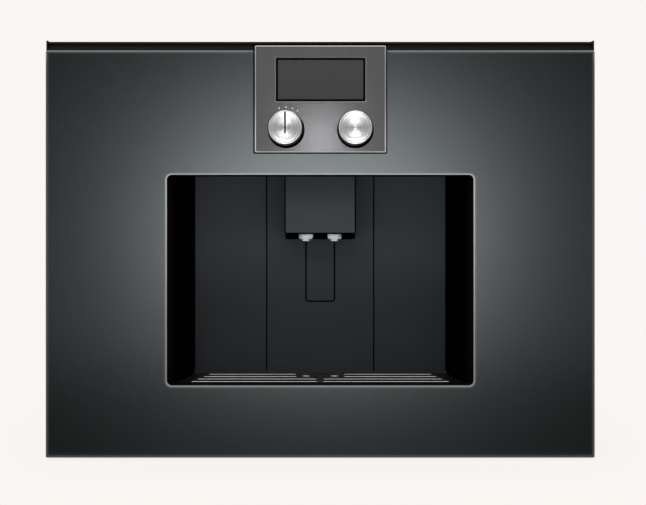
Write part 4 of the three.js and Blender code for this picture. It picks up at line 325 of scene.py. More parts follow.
@dataclass(frozen=True)
class SatinGlass(Finish):
    """Etched glass, printed dark behind: a fine grain over faint upright streaks that widen its gloss."""

    grain: float = 0.00045
    streak: float = 0.0003
    grain_share: float = 0.6
    contrast: Pair = (0.3, 0.7)
    spread: float = 0.22
    gloss_swing: float = 0.12
    depth: float = 0.000004
    lean: Vector3 = (1.0, 0.0, 0.0)
    sideways: float = 0.055
    middle: float = 0.25
    reach: Pair = (0.09, 0.2)
    upper_share: float = 0.5
    smoother: float = 0.045

    def paint(self, graph: Graph) -> dict[str, Wire]:
        """Grain and streaks in the colour, the roughness and the relief; smoother towards top and bottom.

        Args:
            graph: The material's node tree.

        Returns:
            The wires by socket name.
        """
        grain = graph.noise(graph.place(), self.grain, Texture.CLOTH)
        streaks = graph.noise(graph.stretched(Grain.UPRIGHT_STREAKS), self.streak)
        cloth = grain * self.grain_share + streaks * (1 - self.grain_share)
        z = graph.height()
        upper = self.upper_share * graph.smooth(z - self.middle, *self.reach)
        away = graph.smooth(self.middle - z, *self.reach) + upper
        leaned = graph.tilted(self.lean, streaks.swing(self.sideways))
        return {
            "Base Color": graph.mix(graph.smooth(cloth, *self.contrast), *self.shades(self.spread)),
            "Roughness": self.roughness + cloth.swing(self.gloss_swing) - away * self.smoother,
            "Normal": graph.bump(grain, self.depth, leaned),
        }


@dataclass(frozen=True)
class Moulding(Finish):
    """Moulded plastic with a fine spark-eroded skin and faint flow clouds."""

    grain: float = 0.0006
    clouds: float = 0.03
    grain_share: float = 0.35
    spread: float = 0.12
    cloud_gloss: float = 0.15
    grain_gloss: float = 0.1
    depth: float = 0.00003

    def paint(self, graph: Graph) -> dict[str, Wire]:
        """Clouds in the colour and the roughness, grain in the relief.

        Args:
            graph: The material's node tree.

        Returns:
            The wires by socket name.
        """
        grain = graph.noise(graph.place(), self.grain, Texture.GRITTY)
        clouds = graph.noise(graph.place(), self.clouds, Texture.CLOUDY)
        tone = grain * self.grain_share + clouds * (1 - self.grain_share)
        return {
            "Base Color": graph.mix(tone, *self.shades(self.spread)),
            "Roughness": self.roughness + clouds.swing(self.cloud_gloss) + grain.swing(self.grain_gloss),
            "Normal": graph.bump(grain, self.depth),
        }


@dataclass(frozen=True)
class PaintedLightMoulding(Moulding):
    """Moulded plastic with painted light: its colour is raised towards its top, lighter above and darker
    below.
    """

    low: float = 0.14
    high: float = 0.31
    top_painted_light: float = 2.5

    def paint(self, graph: Graph) -> dict[str, Wire]:
        """The plain moulding with its colour raised with height, as painted light.

        Args:
            graph: The material's node tree.

        Returns:
            The wires by socket name.
        """
        coat = super().paint(graph)
        gain = graph.smooth(graph.height(), self.low, self.high, (1.0, self.top_painted_light))
        return coat | {"Base Color": graph.scaled(coat["Base Color"], gain)}


@dataclass(frozen=True)
class PaintedShadeMoulding(Moulding):
    """Moulded plastic with painted shade round the opening of the niche: deep black there, and a little
    lighter elsewhere.
    """

    hole_half: float = 0.168
    hole_bottom: float = 0.076
    hole_top: float = 0.312
    ease: float = 0.006
    hole_painted_shade: float = 0.12

    def paint(self, graph: Graph) -> dict[str, Wire]:
        """The plain moulding with its colour cut down round the hole, as painted shade in the recess.

        Args:
            graph: The material's node tree.

        Returns:
            The wires by socket name.
        """
        coat = super().paint(graph)
        x, _, z = graph.axes(graph.place())
        away = (x.size() - self.hole_half).most(self.hole_bottom - z).most(z - self.hole_top)
        gain = graph.smooth(away, 0.0, self.ease, (self.hole_painted_shade, 1.0))
        return coat | {"Base Color": graph.scaled(coat["Base Color"], gain)}


@dataclass(frozen=True)
class BrushedSteel(Finish):
    """Steel brushed in one direction: scratches lean the normal across the grain."""

    metallic: float = 1.0
    lean: Vector3 = (0.0, 0.0, 1.0)
    scratch: float = 0.00012
    scratches_to_a_band: float = 20.0
    scratch_share: float = 0.5
    gloss_swing: float = 0.12
    spread: float = 0.3
    shade: float = 0.08

    def paint(self, graph: Graph) -> dict[str, Wire]:
        """Scratches in the normal and the roughness, long faint bands in the colour.

        Args:
            graph: The material's node tree.

        Returns:
            The wires by socket name.
        """
        along = Grain.BRUSHED_ALONG_X
        scratches = graph.noise(graph.stretched(along), self.scratch, Texture.GRITTY)
        bands = graph.noise(graph.stretched(along), self.scratches_to_a_band * self.scratch, Texture.CLOUDY)
        tone = scratches * self.scratch_share + bands * (1 - self.scratch_share)
        return {
            "Base Color": graph.mix(tone, *self.shades(self.shade)),
            "Roughness": self.roughness + scratches.swing(self.gloss_swing),
            "Normal": graph.tilted(self.lean, scratches.swing(self.spread)),
        }


@dataclass(frozen=True)
class SpunSteel(Finish):
    """A steel face turned on a lathe: rings round a centre lean the normal outwards and inwards."""

    metallic: float = 1.0
    centre: Vector3 = (0.0, 0.0, 0.0)
    ring: float = 0.00025
    gloss_swing: float = 0.1
    spread: float = 0.55
    shade: float = 0.06
    face_share: float = 0.9

    def paint(self, graph: Graph) -> dict[str, Wire]:
        """Rings on the face that looks to the front; the rim keeps its own normal.

        Args:
            graph: The material's node tree.

        Returns:
            The wires by socket name.
        """
        offset = graph.vector_math("SUBTRACT", graph.place(), self.centre)
        x, _, z = graph.axes(offset)
        flat = graph.vector(x, 0.0, z)
        radius = graph.vector_math("LENGTH", flat, output=1)
        outwards = graph.vector_math("NORMALIZE", flat)
        rings = graph.noise(graph.vector(radius, 0.0, 0.0), self.ring, Texture.RINGS)
        _, backwards, _ = graph.axes(graph.facing())
        on_face = (backwards * -1.0).above(self.face_share)
        return {
            "Base Color": graph.mix(rings, *self.shades(self.shade)),
            "Roughness": self.roughness + rings.swing(self.gloss_swing),
            "Normal": graph.tilted(outwards, rings.swing(self.spread) * on_face),
        }


@dataclass(frozen=True)
class SheetSteel(Finish):
    """Zinc-coated sheet: faint crystal spangle and rolling marks."""

    metallic: float = 0.85
    spangle: float = 0.012
    spangle_weights: Vector3 = (0.4, 0.3, 0.3)
    spangle_share: float = 0.6
    rolling: float = 0.0006
    gloss_swing: float = 0.16
    shade: float = 0.16
    depth: float = 0.000008

    def paint(self, graph: Graph) -> dict[str, Wire]:
        """Spangle in the colour and the roughness, rolling marks in the relief.

        Args:
            graph: The material's node tree.

        Returns:
            The wires by socket name.
        """
        inputs = {"Vector": graph.place(), "Scale": 1 / self.spangle}
        cells = graph.add("ShaderNodeTexVoronoi", {}, inputs, "Color")
        crystals = graph.vector_math("DOT_PRODUCT", cells, self.spangle_weights, output=1)
        rolled = graph.noise(graph.stretched(Grain.BRUSHED_ALONG_Y), self.rolling)
        tone = crystals * self.spangle_share + rolled * (1 - self.spangle_share)
        return {
            "Base Color": graph.mix(tone, *self.shades(self.shade)),
            "Roughness": self.roughness + crystals.swing(self.gloss_swing),
            "Normal": graph.bump(rolled, self.depth),
        }


@dataclass(frozen=True)
class Polished(Finish):
    """Polished metal or ground glass with a faint haze of wiping marks, whose colour can be raised or cut down
    with height as painted light.
    """

    metallic: float = 1.0
    haze: float = 0.004
    haze_shade: float = 0.03
    haze_gloss: float = 0.06
    low: float = 0.0
    high: float = 0.45
    low_painted_light: float = 1.0
    high_painted_light: float = 1.0

    def paint(self, graph: Graph) -> dict[str, Wire]:
        """Haze in the roughness and the colour, which is multiplied by a gain that eases with height; a gain
        other than one is painted light.

        Args:
            graph: The material's node tree.

        Returns:
            The wires by socket name.
        """
        haze = graph.noise(graph.place(), self.haze, Texture.CLOUDY)
        gain = graph.smooth(graph.height(), self.low, self.high, (self.low_painted_light, self.high_painted_light))
        return {
            "Base Color": graph.scaled(graph.mix(haze, *self.shades(self.haze_shade)), gain),
            "Roughness": self.roughness + haze.swing(self.haze_gloss),
        }


@dataclass(frozen=True)
class ClearPlastic(Finish):
    """Clear moulded plastic with a smoke tint and faint flow lines."""

    flow: float = 0.02
    shade: float = 0.08
    gloss_swing: float = 0.06
    depth: float = 0.0001
    clearness: float = 0.85
    refraction: float = 1.49

    def constants(self) -> dict[str, Any]:
        """The plain coat, made to let light through."""
        return super().constants() | {"Transmission Weight": self.clearness, "IOR": self.refraction}

    def paint(self, graph: Graph) -> dict[str, Wire]:
        """Flow lines in the colour, the roughness and the relief.

        Args:
            graph: The material's node tree.

        Returns:
            The wires by socket name.
        """
        flow = graph.noise(graph.stretched(Grain.UPRIGHT_FLOW), self.flow, Texture.CLOUDY)
        return {
            "Base Color": graph.mix(flow, *self.shades(self.shade)),
            "Roughness": self.roughness + flow.swing(self.gloss_swing),
            "Normal": graph.bump(flow, self.depth),
        }


@dataclass(frozen=True)
class CastMetal(Finish):
    """Sand-cast metal: coarse pits and a blotchy skin."""

    metallic: float = 0.9
    pit: float = 0.0012
    pits_to_a_blotch: float = 12.0
    shade: float = 0.15
    gloss_swing: float = 0.2
    depth: float = 0.00012

    def paint(self, graph: Graph) -> dict[str, Wire]:
        """Pits in the relief and the roughness, blotches in the colour.

        Args:
            graph: The material's node tree.

        Returns:
            The wires by socket name.
        """
        pits = graph.noise(graph.place(), self.pit, Texture.PITTED)
        blotches = graph.noise(graph.place(), self.pits_to_a_blotch * self.pit, Texture.CLOUDY)
        return {
            "Base Color": graph.mix(blotches, *self.shades(self.shade)),
            "Roughness": self.roughness + pits.swing(self.gloss_swing),
            "Normal": graph.bump(pits, self.depth),
        }


@dataclass(frozen=True)
class CircuitBoard(Finish):
    """Solder mask over copper tracks on a square pitch."""

    pitch: float = 0.0025
    track: float = 0.0004
    pitches_to_a_zone: float = 6.0
    zone_limit: float = 0.5
    copper_gain: float = 1.9
    copper_lift: float = 0.01
    gloss_step: float = 0.1
    depth: float = 0.00003

    def paint(self, graph: Graph) -> dict[str, Wire]:
        """Tracks in two directions, each kept only where a coarse noise allows.

        Args:
            graph: The material's node tree.

        Returns:
            The wires by socket name.
        """
        x, y, z = graph.axes(graph.place())
        zone = graph.noise(graph.place(), self.pitches_to_a_zone * self.pitch, Texture.BLOCKS)
        here = zone.above(self.zone_limit)
        across = 1.0 - x.repeat(self.pitch).above(self.track)
        along = 1.0 - (y + z).repeat(self.pitch).above(self.track)
        tracks = (across * here).most(along * (1.0 - here))
        copper = tuple(min(1.0, part * self.copper_gain + self.copper_lift) for part in self.colour)
        return {
            "Base Color": graph.mix(tracks, self.colour, copper),
            "Roughness": self.roughness - tracks * self.gloss_step,
            "Normal": graph.bump(tracks, self.depth),
        }


class Palette:
    """Every finish of the machine, named for what it covers."""

    PANE = SatinGlass("etched_pane", (0.0017, 0.0021, 0.0023), 0.305, specular=0.25, tint=(0.91, 1.0, 1.035))
    # The pane's ground edge is six times lighter along the top: a painted highlight.
    PANE_EDGE = Polished(
        "ground_pane_edge", (0.018, 0.0195, 0.0205), 0.35, metallic=0.2, low=0.42, high=0.438, high_painted_light=6.0)
    # A strip along the pane's ground edges, much lighter than the pane: painted sheen.
    PANE_SHEEN_BAND = SatinGlass("pane_rim_painted_sheen", (0.016, 0.018, 0.019), 0.305, specular=0.25, tint=(0.91, 1.0, 1.035))
    # The ground edge of the opening is half as light at its bottom as at its top: painted light.
    OPENING_EDGE = Polished(
        "ground_opening_edge", (0.29, 0.3, 0.305), 0.5, metallic=0.0, specular=0.3, low=0.08, high=0.3,
        low_painted_light=0.5)
    MODULE = BrushedSteel(
        "module_steel", (0.465, 0.467, 0.485), 0.165, metallic=0.95, scratch=0.00006, spread=0.15, shade=0.04)
    # The module's edge is about twice as light along its bottom: painted light.
    MODULE_EDGE = Polished(
        "module_edge", (0.44, 0.44, 0.44), 0.3, metallic=0.6, low=0.335, high=0.4, low_painted_light=2.1)
    DISPLAY = SatinGlass(
        "display_glass", (0.036, 0.0445, 0.047), 0.32, specular=0.2, spread=0.05, sideways=0.0, smoother=0.0)
    DISPLAY_BEZEL = Moulding("display_bezel", (0.0009, 0.0009, 0.001), 0.7, specular=0.04)
    MARKS = Moulding("white_print", (0.85, 0.85, 0.85), 0.6, depth=0.000004)
    POINTER = Moulding("black_inlay", (0.002, 0.002, 0.002), 0.6, specular=0.05, depth=0.000004)
    # The nozzles are near white with little metal: their colour also paints the chrome's sheen.
    CHROME_AND_SHEEN = Polished("nozzle_chrome_and_sheen", (0.93, 0.97, 1.0), 0.15, metallic=0.35)
    DIAL = SpunSteel("dial_steel", (0.92, 0.92, 0.92), 0.27, metallic=0.96, spread=2.1)
    DIAL_SIDE = BrushedSteel("dial_side", (0.03, 0.03, 0.03), 0.3, lean=(0.0, 1.0, 0.0), spread=0.3)
    GRATE = BrushedSteel("grate_steel", (0.34, 0.34, 0.34), 0.22, spread=0.05)
    # The raised middle of each dish is near white with little metal: a painted glint.
    DISH_BUTTON_GLINT = Polished("dish_button_glint", (0.9, 0.9, 0.9), 0.2, metallic=0.4)
    DECK = BrushedSteel("deck_steel", (0.07, 0.072, 0.075), 0.42, lean=(0.0, 1.0, 0.0), spread=0.8)
    LIP = Moulding("deck_lip", (0.016, 0.017, 0.018), 0.5)
    # The niche panels carry painted light: their colour rises towards the top.
    NICHE_PANEL = PaintedLightMoulding("niche_panel", (0.0235, 0.028, 0.0335), 0.55, specular=0.2, depth=0.00001)
    OUTLET = Moulding("outlet_hood", (0.041, 0.0505, 0.0585), 0.5, specular=0.3, depth=0.000012)
    LINER = Moulding("liner_black", (0.0008, 0.0008, 0.0009), 0.8, specular=0.02)
    # The frame is painted with shade round the niche's opening.
    FRAME = PaintedShadeMoulding("frame_black", (0.009, 0.009, 0.0095), 0.6, specular=0.1)
    BLACK = Moulding("black_moulding", (0.005, 0.005, 0.0054), 0.55, specular=0.2)
    STRIP = Moulding("warm_air_strip", (0.0085, 0.0085, 0.009), 0.5, specular=0.2)
    ANTHRACITE = Moulding("anthracite_moulding", (0.035, 0.037, 0.04), 0.5)
    GREY = Moulding("grey_moulding", (0.16, 0.165, 0.17), 0.55)
    ZINC = SheetSteel("zinc_sheet", (0.52, 0.53, 0.54), 0.42)
    SCREW = Polished("zinc_screw", (0.42, 0.42, 0.43), 0.28)
    MACHINED = Polished("machined_steel", (0.5, 0.5, 0.5), 0.3)
    CLEAR = ClearPlastic("smoke_clear", (0.62, 0.66, 0.68), 0.08)
    CAST = CastMetal("cast_aluminium", (0.5, 0.51, 0.52), 0.5)
    RUBBER = Moulding("seal_rubber", (0.004, 0.004, 0.004), 0.85, specular=0.1)
    BOARD = CircuitBoard("solder_mask", (0.012, 0.07, 0.035), 0.35)


# ---------------------------------------------------------------- surfaces

@dataclass(frozen=True)
class Outline:
    """A closed line in a plane, with the unit direction that points out of it at each point."""

    points: np.ndarray
    outwards: np.ndarray

    def grown(self, amount: np.ndarray) -> np.ndarray:
        """The line moved outwards by each amount: point + amount x direction, as (amounts, points, 2)."""
        return self.points[None] + np.asarray(amount)[:, None, None] * self.outwards[None]


def rounded_rectangle(low: Sequence[float], high: Sequence[float], radius: float, steps: int = 8) -> Outline:
    """A rectangle with round corners: each corner is centre + radius x (cos t, sin t) over a quarter turn.

    Args:
        low: Lower corner in the plane.
        high: Upper corner in the plane.
        radius: Radius of the corners.
        steps: Segments in each corner.

    Returns:
        The outline, counter-clockwise from the right end of the lower right corner's arc.
    """
    turn = np.linspace(-np.pi / 2, 0, steps + 1)[None, :] + np.arange(4)[:, None] * np.pi / 2
    outwards = np.stack([np.cos(turn), np.sin(turn)], -1)
    signs = np.array([[1, 0], [1, 1], [0, 1], [0, 0]])
    low, high = np.array(low), np.array(high)
    centres = np.where(signs == 1, high - radius, low + radius)
    points = centres[:, None] + radius * outwards
    return Outline(points.reshape(-1, 2), outwards.reshape(-1, 2))


def nested_rectangles(
    low: np.ndarray, high: np.ndarray, radius: float, insets: Sequence[float], least: float = 0.2 * MM,
) -> np.ndarray:
    """Rectangles one inside the other, whose corners never fold over: radius - inset, but at least the least.

    Args:
        low: Lower corner of the outermost.
        high: Upper corner of the outermost.
        radius: Radius of its corners.
        insets: How far in each rectangle lies.
        least: The smallest radius of a corner.

    Returns:
        The loops, as (rectangles, points, 2).
    """
    return np.stack([
        rounded_rectangle(low + inset, high - inset, max(radius - inset, least)).points for inset in insets])


def front_outline(low: np.ndarray, high: np.ndarray, radius: float) -> Outline:
    """The rounded rectangle that a box shows from the front."""
    return rounded_rectangle(low[[0, 2]], high[[0, 2]], radius)


def quarter_round(radius: float, steps: int = 4) -> np.ndarray:
    """A rounded edge as (inset, rise) pairs: radius x (1 - cos t, sin t) over a quarter turn."""
    turn = np.linspace(0, np.pi / 2, steps + 1)
    return radius * np.stack([1 - np.cos(turn), np.sin(turn)], -1)


class Axis(Enum):
    """The direction in which an outline is carried, as the order of (first, second, carried) axes."""

    FRONT = (0, 2, 1)
    UP = (0, 1, 2)
    SIDE = (1, 2, 0)


def in_space(flat: np.ndarray, along: np.ndarray, axis: Axis) -> np.ndarray:
    """Puts flat loops at places along an axis.

    Args:
        flat: The loops, as (rows, columns, 2).
        along: The place of each row.
        axis: The direction of the places.

    Returns:
        The points, as (rows, columns, 3).
    """
    space = np.empty((*flat.shape[:2], 3))
    first, second, carried = axis.value
    space[..., first] = flat[..., 0]
    space[..., second] = flat[..., 1]
    space[..., carried] = np.asarray(along)[:, None]
    return space


@dataclass
class Shell:
    """Grids of points that together make one closed surface."""

    points: list[np.ndarray] = field(default_factory=list)
    faces: list[list[int]] = field(default_factory=list)
    slots: list[int] = field(default_factory=list)
    count: int = 0

    def _keep(self, points: np.ndarray) -> np.ndarray:
        """Stores points.

        Args:
            points: The points, as (points, 3).

        Returns:
            Their numbers.
        """
        numbers = np.arange(len(points)) + self.count
        self.points.append(points)
        self.count += len(points)
        return numbers

    def grid(self, points: np.ndarray, finish: int = 0, looped: bool = False) -> "Shell":
        """Adds rows of closed loops, joined by quads.

        Args:
            points: Rows of loops, as (rows, columns, 3).
            finish: Number of the finish of these faces.
            looped: Whether the last row meets the first again.

        Returns:
            The shell itself.
        """
        rows, columns, _ = points.shape
        numbers = self._keep(points.reshape(-1, 3)).reshape(rows, columns)
        numbers = np.hstack([numbers, numbers[:, :1]])
        if looped:
            numbers = np.vstack([numbers, numbers[:1]])
        corners = [numbers[:-1, :-1], numbers[:-1, 1:], numbers[1:, 1:], numbers[1:, :-1]]
        quads = np.stack(corners, -1).reshape(-1, 4)
        self.faces += quads.tolist()
        self.slots += [finish] * len(quads)
        return self

    def cap(self, loop: np.ndarray, finish: int = 0) -> "Shell":
        """Closes a loop of points with one flat face.

        Args:
            loop: The points, as (points, 3).
            finish: Number of the finish of the face.

        Returns:
            The shell itself.
        """
        self.faces.append(self._keep(loop).tolist())
        self.slots.append(finish)
        return self

    def closed(self, loops: np.ndarray, finish: int = 0) -> "Shell":
        """Adds rows of loops and closes both ends."""
        return self.grid(loops, finish).cap(loops[0], finish).cap(loops[-1], finish)

    def box(
        self,
        low: Sequence[float],
        high: Sequence[float],
        radius: float,
        steps: int = 2,
        axis: Axis = Axis.UP,
        finish: int = 0,
    ) -> "Shell":
        """Adds a box with round edges."""
        return self.closed(rounded_box(low, high, radius, steps, axis), finish)

    def mesh(self, name: str, merge: float, sharp: float) -> bpy.types.Mesh:
        """Makes the mesh, with doubles merged and faces turned outwards.

        Args:
            name: Name of the mesh.
            merge: Points closer than this become one.
            sharp: Edges sharper than this many degrees stay sharp.

        Returns:
            The mesh.
        """
        mesh = bpy.data.meshes.new(name)
        mesh.from_pydata(np.concatenate(self.points).tolist(), [], self.faces)
        mesh.polygons.foreach_set("material_index", self.slots)
        work = bmesh.new()
        work.from_mesh(mesh)
        bmesh.ops.remove_doubles(work, verts=work.verts, dist=merge)
        bmesh.ops.dissolve_degenerate(work, edges=work.edges, dist=merge)
        bmesh.ops.recalc_face_normals(work, faces=work.faces)
        work.to_mesh(mesh)
        work.free()
        mesh.polygons.foreach_set("use_smooth", [True] * len(mesh.polygons))
        mesh.set_sharp_from_angle(angle=math.radians(sharp))
        return mesh


def turned(profile: Sequence[Sequence[float]], centre: Vector3, axis: Axis, segments: int = 96) -> np.ndarray:
    """A turned surface: each point of a profile goes round as radius x (cos t, sin t).

    Args:
        profile: Pairs of (radius, along).
        centre: Where the profile's nought lies.
        axis: The direction that it turns about.
        segments: Steps in a full turn.

    Returns:
        The points, as (profile, segments, 3).
    """
    turn = np.linspace(0, 2 * np.pi, segments, endpoint=False)
    profile = np.array(profile)
    circle = np.stack([np.cos(turn), np.sin(turn)], -1)
    space = in_space(profile[:, 0, None, None] * circle[None], profile[:, 1], axis)
    return space + np.array(centre)


def rounded_box(
    low: Sequence[float], high: Sequence[float], radius: float, steps: int, axis: Axis,
) -> np.ndarray:
    """A box with round edges: its outline, carried along an axis and drawn in at both ends.

    Args:
        low: Lowest corner.
        high: Highest corner.
        radius: Radius of the edges.
        steps: Segments in each quarter round.
        axis: The direction in which the outline is carried.

    Returns:
        The loops from end to end, as (rows, points, 3).
    """
    first, second, carried = axis.value
    outline = rounded_rectangle((low[first], low[second]), (high[first], high[second]), radius, steps)
    edge = quarter_round(radius, steps)
    insets = np.concatenate([edge[::-1, 0], edge[:, 0]])
    along = np.concatenate([low[carried] + radius - edge[::-1, 1], high[carried] - radius + edge[:, 1]])
    return in_space(outline.grown(-insets), along, axis)


@dataclass
class Piece:
    """A finished piece: the body it rides on, the finishes of its faces and the solids it stands for."""

    name: str
    body: str
    slot: str
    finishes: Sequence[Finish]
    replaces: Sequence[str] = ()

    def add(self, shell: Shell, merge: float = 1e-6, sharp: float = 25.0) -> None:
        """Makes the object from a shell, with its flat faces shaded flat.

        Args:
            shell: The surface.
            merge: Points closer than this become one.
            sharp: Edges sharper than this many degrees stay sharp.
        """
        piece = self.seat(shell.mesh(self.name, merge, sharp))
        flat = piece.modifiers.new("flat_faces", "WEIGHTED_NORMAL")
        flat.keep_sharp = True

    def seat(self, mesh: bpy.types.Mesh) -> bpy.types.Object:
        """Gives a mesh its finishes and puts it on its body.

        Args:
            mesh: The mesh of the piece.

        Returns:
            The object.
        """
        for finish in self.finishes:
            mesh.materials.append(finish.material())
        piece = bpy.data.objects.new(self.name, mesh)
        bpy.context.scene.collection.objects.link(piece)
        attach(piece, self.body)
        if self.replaces:
            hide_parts(*self.replaces)
        LOG.info("%s: %d faces on %s", self.name, len(mesh.polygons), self.body)
        return piece


def span(node: str) -> tuple[np.ndarray, np.ndarray]:
    """Lowest and highest corner of a solid."""
    low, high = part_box(node)
    return np.array(low), np.array(high)


# ---------------------------------------------------------------- door

@dataclass
class Door:
    """The pane of the door with its ground edges, round the opening for the niche."""

    edge: float = 1.7 * MM
    opening_edge: float = 1.2 * MM
    band: float = 1.7 * MM
    flat: float = 0.6 * MM
    corner: float = 1.6 * MM
    opening_corner: float = 5.4 * MM
    opening_low: Pair = (-165.0 * MM, 79.4 * MM)
    opening_high: Pair = (165.0 * MM, 306.1 * MM)

    def build(self) -> None:
        """Builds the pane."""
        low, high = span("door_glass")
        rim = self._section(self.edge, high[1], low[1])
        inner = self._section(self.opening_edge, high[1], low[1])
        outer = nested_rectangles(low[[0, 2]], high[[0, 2]], self.corner, rim[:, 0])
        opening = rounded_rectangle(self.opening_low, self.opening_high, self.opening_corner)
        outer_loops = in_space(outer, rim[:, 1], Axis.FRONT)
        inner_loops = in_space(opening.grown(inner[:, 0]), inner[:, 1], Axis.FRONT)
        finishes = [Palette.PANE, Palette.PANE_EDGE, Palette.OPENING_EDGE, Palette.PANE_SHEEN_BAND]
        pane, ground, opening_ground, band = range(len(finishes))
        shell = Shell()
        # The first three loops bound the wall and the chamfer, the next one the band, a lighter strip that
        # paints the sheen of the ground edge, and the last the face
        for loops, finish in ((outer_loops, ground), (inner_loops, opening_ground)):
            shell.grid(loops[:3], finish).grid(loops[2:4], band).grid(loops[3:], pane)
        for row in (-1, 0):
            shell.grid(np.stack([outer_loops[row], inner_loops[row]]), pane)
        Piece("door_pane", "door", "anthracite_glass", finishes, ["door_glass"]).add(shell)

    def _section(self, edge: float, back: float, front: float) -> np.ndarray:
        """The pane's edge as (inset, depth): a wall, a chamfer, a band and a strip of the face.

        Args:
            edge: Width and depth of the chamfer.
            back: Depth of the pane's back.
            front: Depth of the pane's face.

        Returns:
            The five points of the section.
        """
        insets = np.cumsum([0.0, 0.0, edge, self.band, self.flat])
        return np.stack([insets, [back, front + edge, front, front, front]], -1)


@dataclass
class Module:
    """The steel control module: its face, the display and the marks above the left knob."""

    corner: float = 1.4 * MM
    edge: float = 1.2 * MM
    insets_low: Vector3 = (1.3 * MM, 0.0, 0.4 * MM)
    insets_high: Vector3 = (0.9 * MM, 1.6 * MM, 2.0 * MM)
    gasket: float = 1.6 * MM
    gasket_lip: float = 0.8 * MM
    wall: float = 1.5 * MM
    window_gap: float = 0.5 * MM
    window_edge: float = 0.8 * MM
    display_low: Vector3 = (1.1 * MM, 0.0, -0.2 * MM)
    display_high: Vector3 = (0.3 * MM, 0.0, 1.8 * MM)
    bezel: float = 1.7 * MM
    bezel_edge: float = 0.5 * MM
    bezel_corner: float = 0.5 * MM
    bezel_setback: float = 0.15 * MM
    glass_gap: float = 0.1 * MM
    glass_proud: float = 0.2 * MM
    glass_edge: float = 0.25 * MM
    mark_ring: float = 23.0 * MM
    mark_root: float = 0.02 * MM
    mark_rise: float = 0.06 * MM
    mark_size: float = 0.85 * MM
    mark_segments: int = 24
    mark_angles: tuple[float, ...] = (-17.5, 0.5, 18.5, 33.5)

    def build(self) -> None:
        """Builds the shell, the display and the marks."""
        self._shell()
        self._display()
        self._marks()

    def _shell(self) -> None:
        """Face and sides of the module with a window for the display."""
        low, high = span("module_shell")
        self._gasket_and_shadow(low, high)
        low, high = low + self.insets_low, high - self.insets_high
        window_low, window_high = self._display_span()
        outer = front_outline(low, high, self.corner)
        window = front_outline(window_low - self.window_gap, window_high + self.window_gap, self.window_gap)
        back, front = high[1], low[1]
        inside_front = front + self.wall
        rim = in_space(outer.grown([0.0, 0.0, -self.edge]), [back, front + self.edge, front], Axis.FRONT)
        mouth = in_space(window.grown([self.window_edge, 0.0]), [front, front + self.window_edge], Axis.FRONT)
        inside = in_space(window.grown([0.0, self.edge]), [inside_front] * 2, Axis.FRONT)
        hollow = in_space(outer.grown([-self.wall] * 2), [inside_front, back], Axis.FRONT)
        finishes = [Palette.MODULE, Palette.MODULE_EDGE]
        face, edge = range(len(finishes))
        shell = Shell()
        shell.grid(rim[:2], face).grid(rim[1:], edge)
        shell.grid(np.stack([rim[-1], mouth[0]]), face)
        shell.grid(mouth, edge)
        shell.grid(np.stack([mouth[1], inside[0]]), edge)
        shell.grid(np.stack([inside[0], hollow[0]]), face)
        shell.grid(hollow, face)
        shell.grid(np.stack([hollow[1], rim[0]]), face)
        Piece("module_face", "door", "stainless", finishes, ["module_shell"]).add(shell)

    def _gasket_and_shadow(self, low: np.ndarray, high: np.ndarray) -> None:
        """A black gasket between the pane and the steel, with the outline of the solid; its lip round the
        steel also paints the module's shadow line on the pane.

        Args:
            low: Lowest corner of the module.
            high: Highest corner of the module.
        """
        outer = front_outline(low, high, self.corner)
        lip, hidden = self.gasket_lip, -2 * self.wall
        face = high[1] - self.gasket
        rows = np.array([(lip, high[1]), (lip, face), (hidden, face), (hidden, high[1])])
        shell = Shell().grid(in_space(outer.grown(rows[:, 0]), rows[:, 1], Axis.FRONT), looped=True)
        Piece("module_gasket_and_shadow", "door", "seal_rubber", [Palette.LINER]).add(shell)

    def _display_span(self) -> tuple[np.ndarray, np.ndarray]:
        """Corners of the visible display, a little within the solid."""
        low, high = span("display_frame")
        return low + self.display_low, high - self.display_high

    def _display(self) -> None:
        """A dark bezel with a chamfer round the display glass."""
        low, high = self._display_span()
        outer = front_outline(low, high, self.bezel_corner)
        back, front = high[1], low[1] + self.bezel_setback
        chamfer = self.bezel_edge
        rows = np.array([
            (0.0, back), (0.0, front + chamfer / 2), (-chamfer / 2, front), (chamfer / 2 - self.bezel, front),
            (-self.bezel, front + chamfer), (-self.bezel, back),
        ])
        shell = Shell().grid(in_space(outer.grown(rows[:, 0]), rows[:, 1], Axis.FRONT), looped=True)
        bezel = Piece("display_bezel", "door", "black_moulding", [Palette.DISPLAY_BEZEL], ["display_frame"])
        bezel.add(shell)
        glass_low, glass_high = span("display_window")
        inset = self.bezel + self.glass_gap
        glass = Shell().box(
            (low[0] + inset, glass_low[1] - self.glass_proud, low[2] + inset),
            (high[0] - inset, glass_high[1], high[2] - inset), self.glass_edge, 2, Axis.FRONT)
        Piece("display_pane", "door", "display_glass", [Palette.DISPLAY], ["display_window"]).add(glass)

    def _marks(self) -> None:
        """Printed dots on an arc above the left knob."""
        low, high = span("left_knob")
        centre = (low + high) / 2
        face = span("module_shell")[0][1]
        profile = [
            (0.0, self.mark_root), (self.mark_size, self.mark_root),
            (self.mark_size, -self.mark_rise), (0.0, -self.mark_rise),
        ]
        shell = Shell()
        for angle in self.mark_angles:
            turn = math.radians(angle)
            x = centre[0] + self.mark_ring * math.sin(turn)
            z = centre[2] + self.mark_ring * math.cos(turn)
            shell.grid(turned(profile, (x, face, z), Axis.FRONT, self.mark_segments))
        Piece("knob_marks", "door", "clear_moulding", [Palette.MARKS]).add(shell)


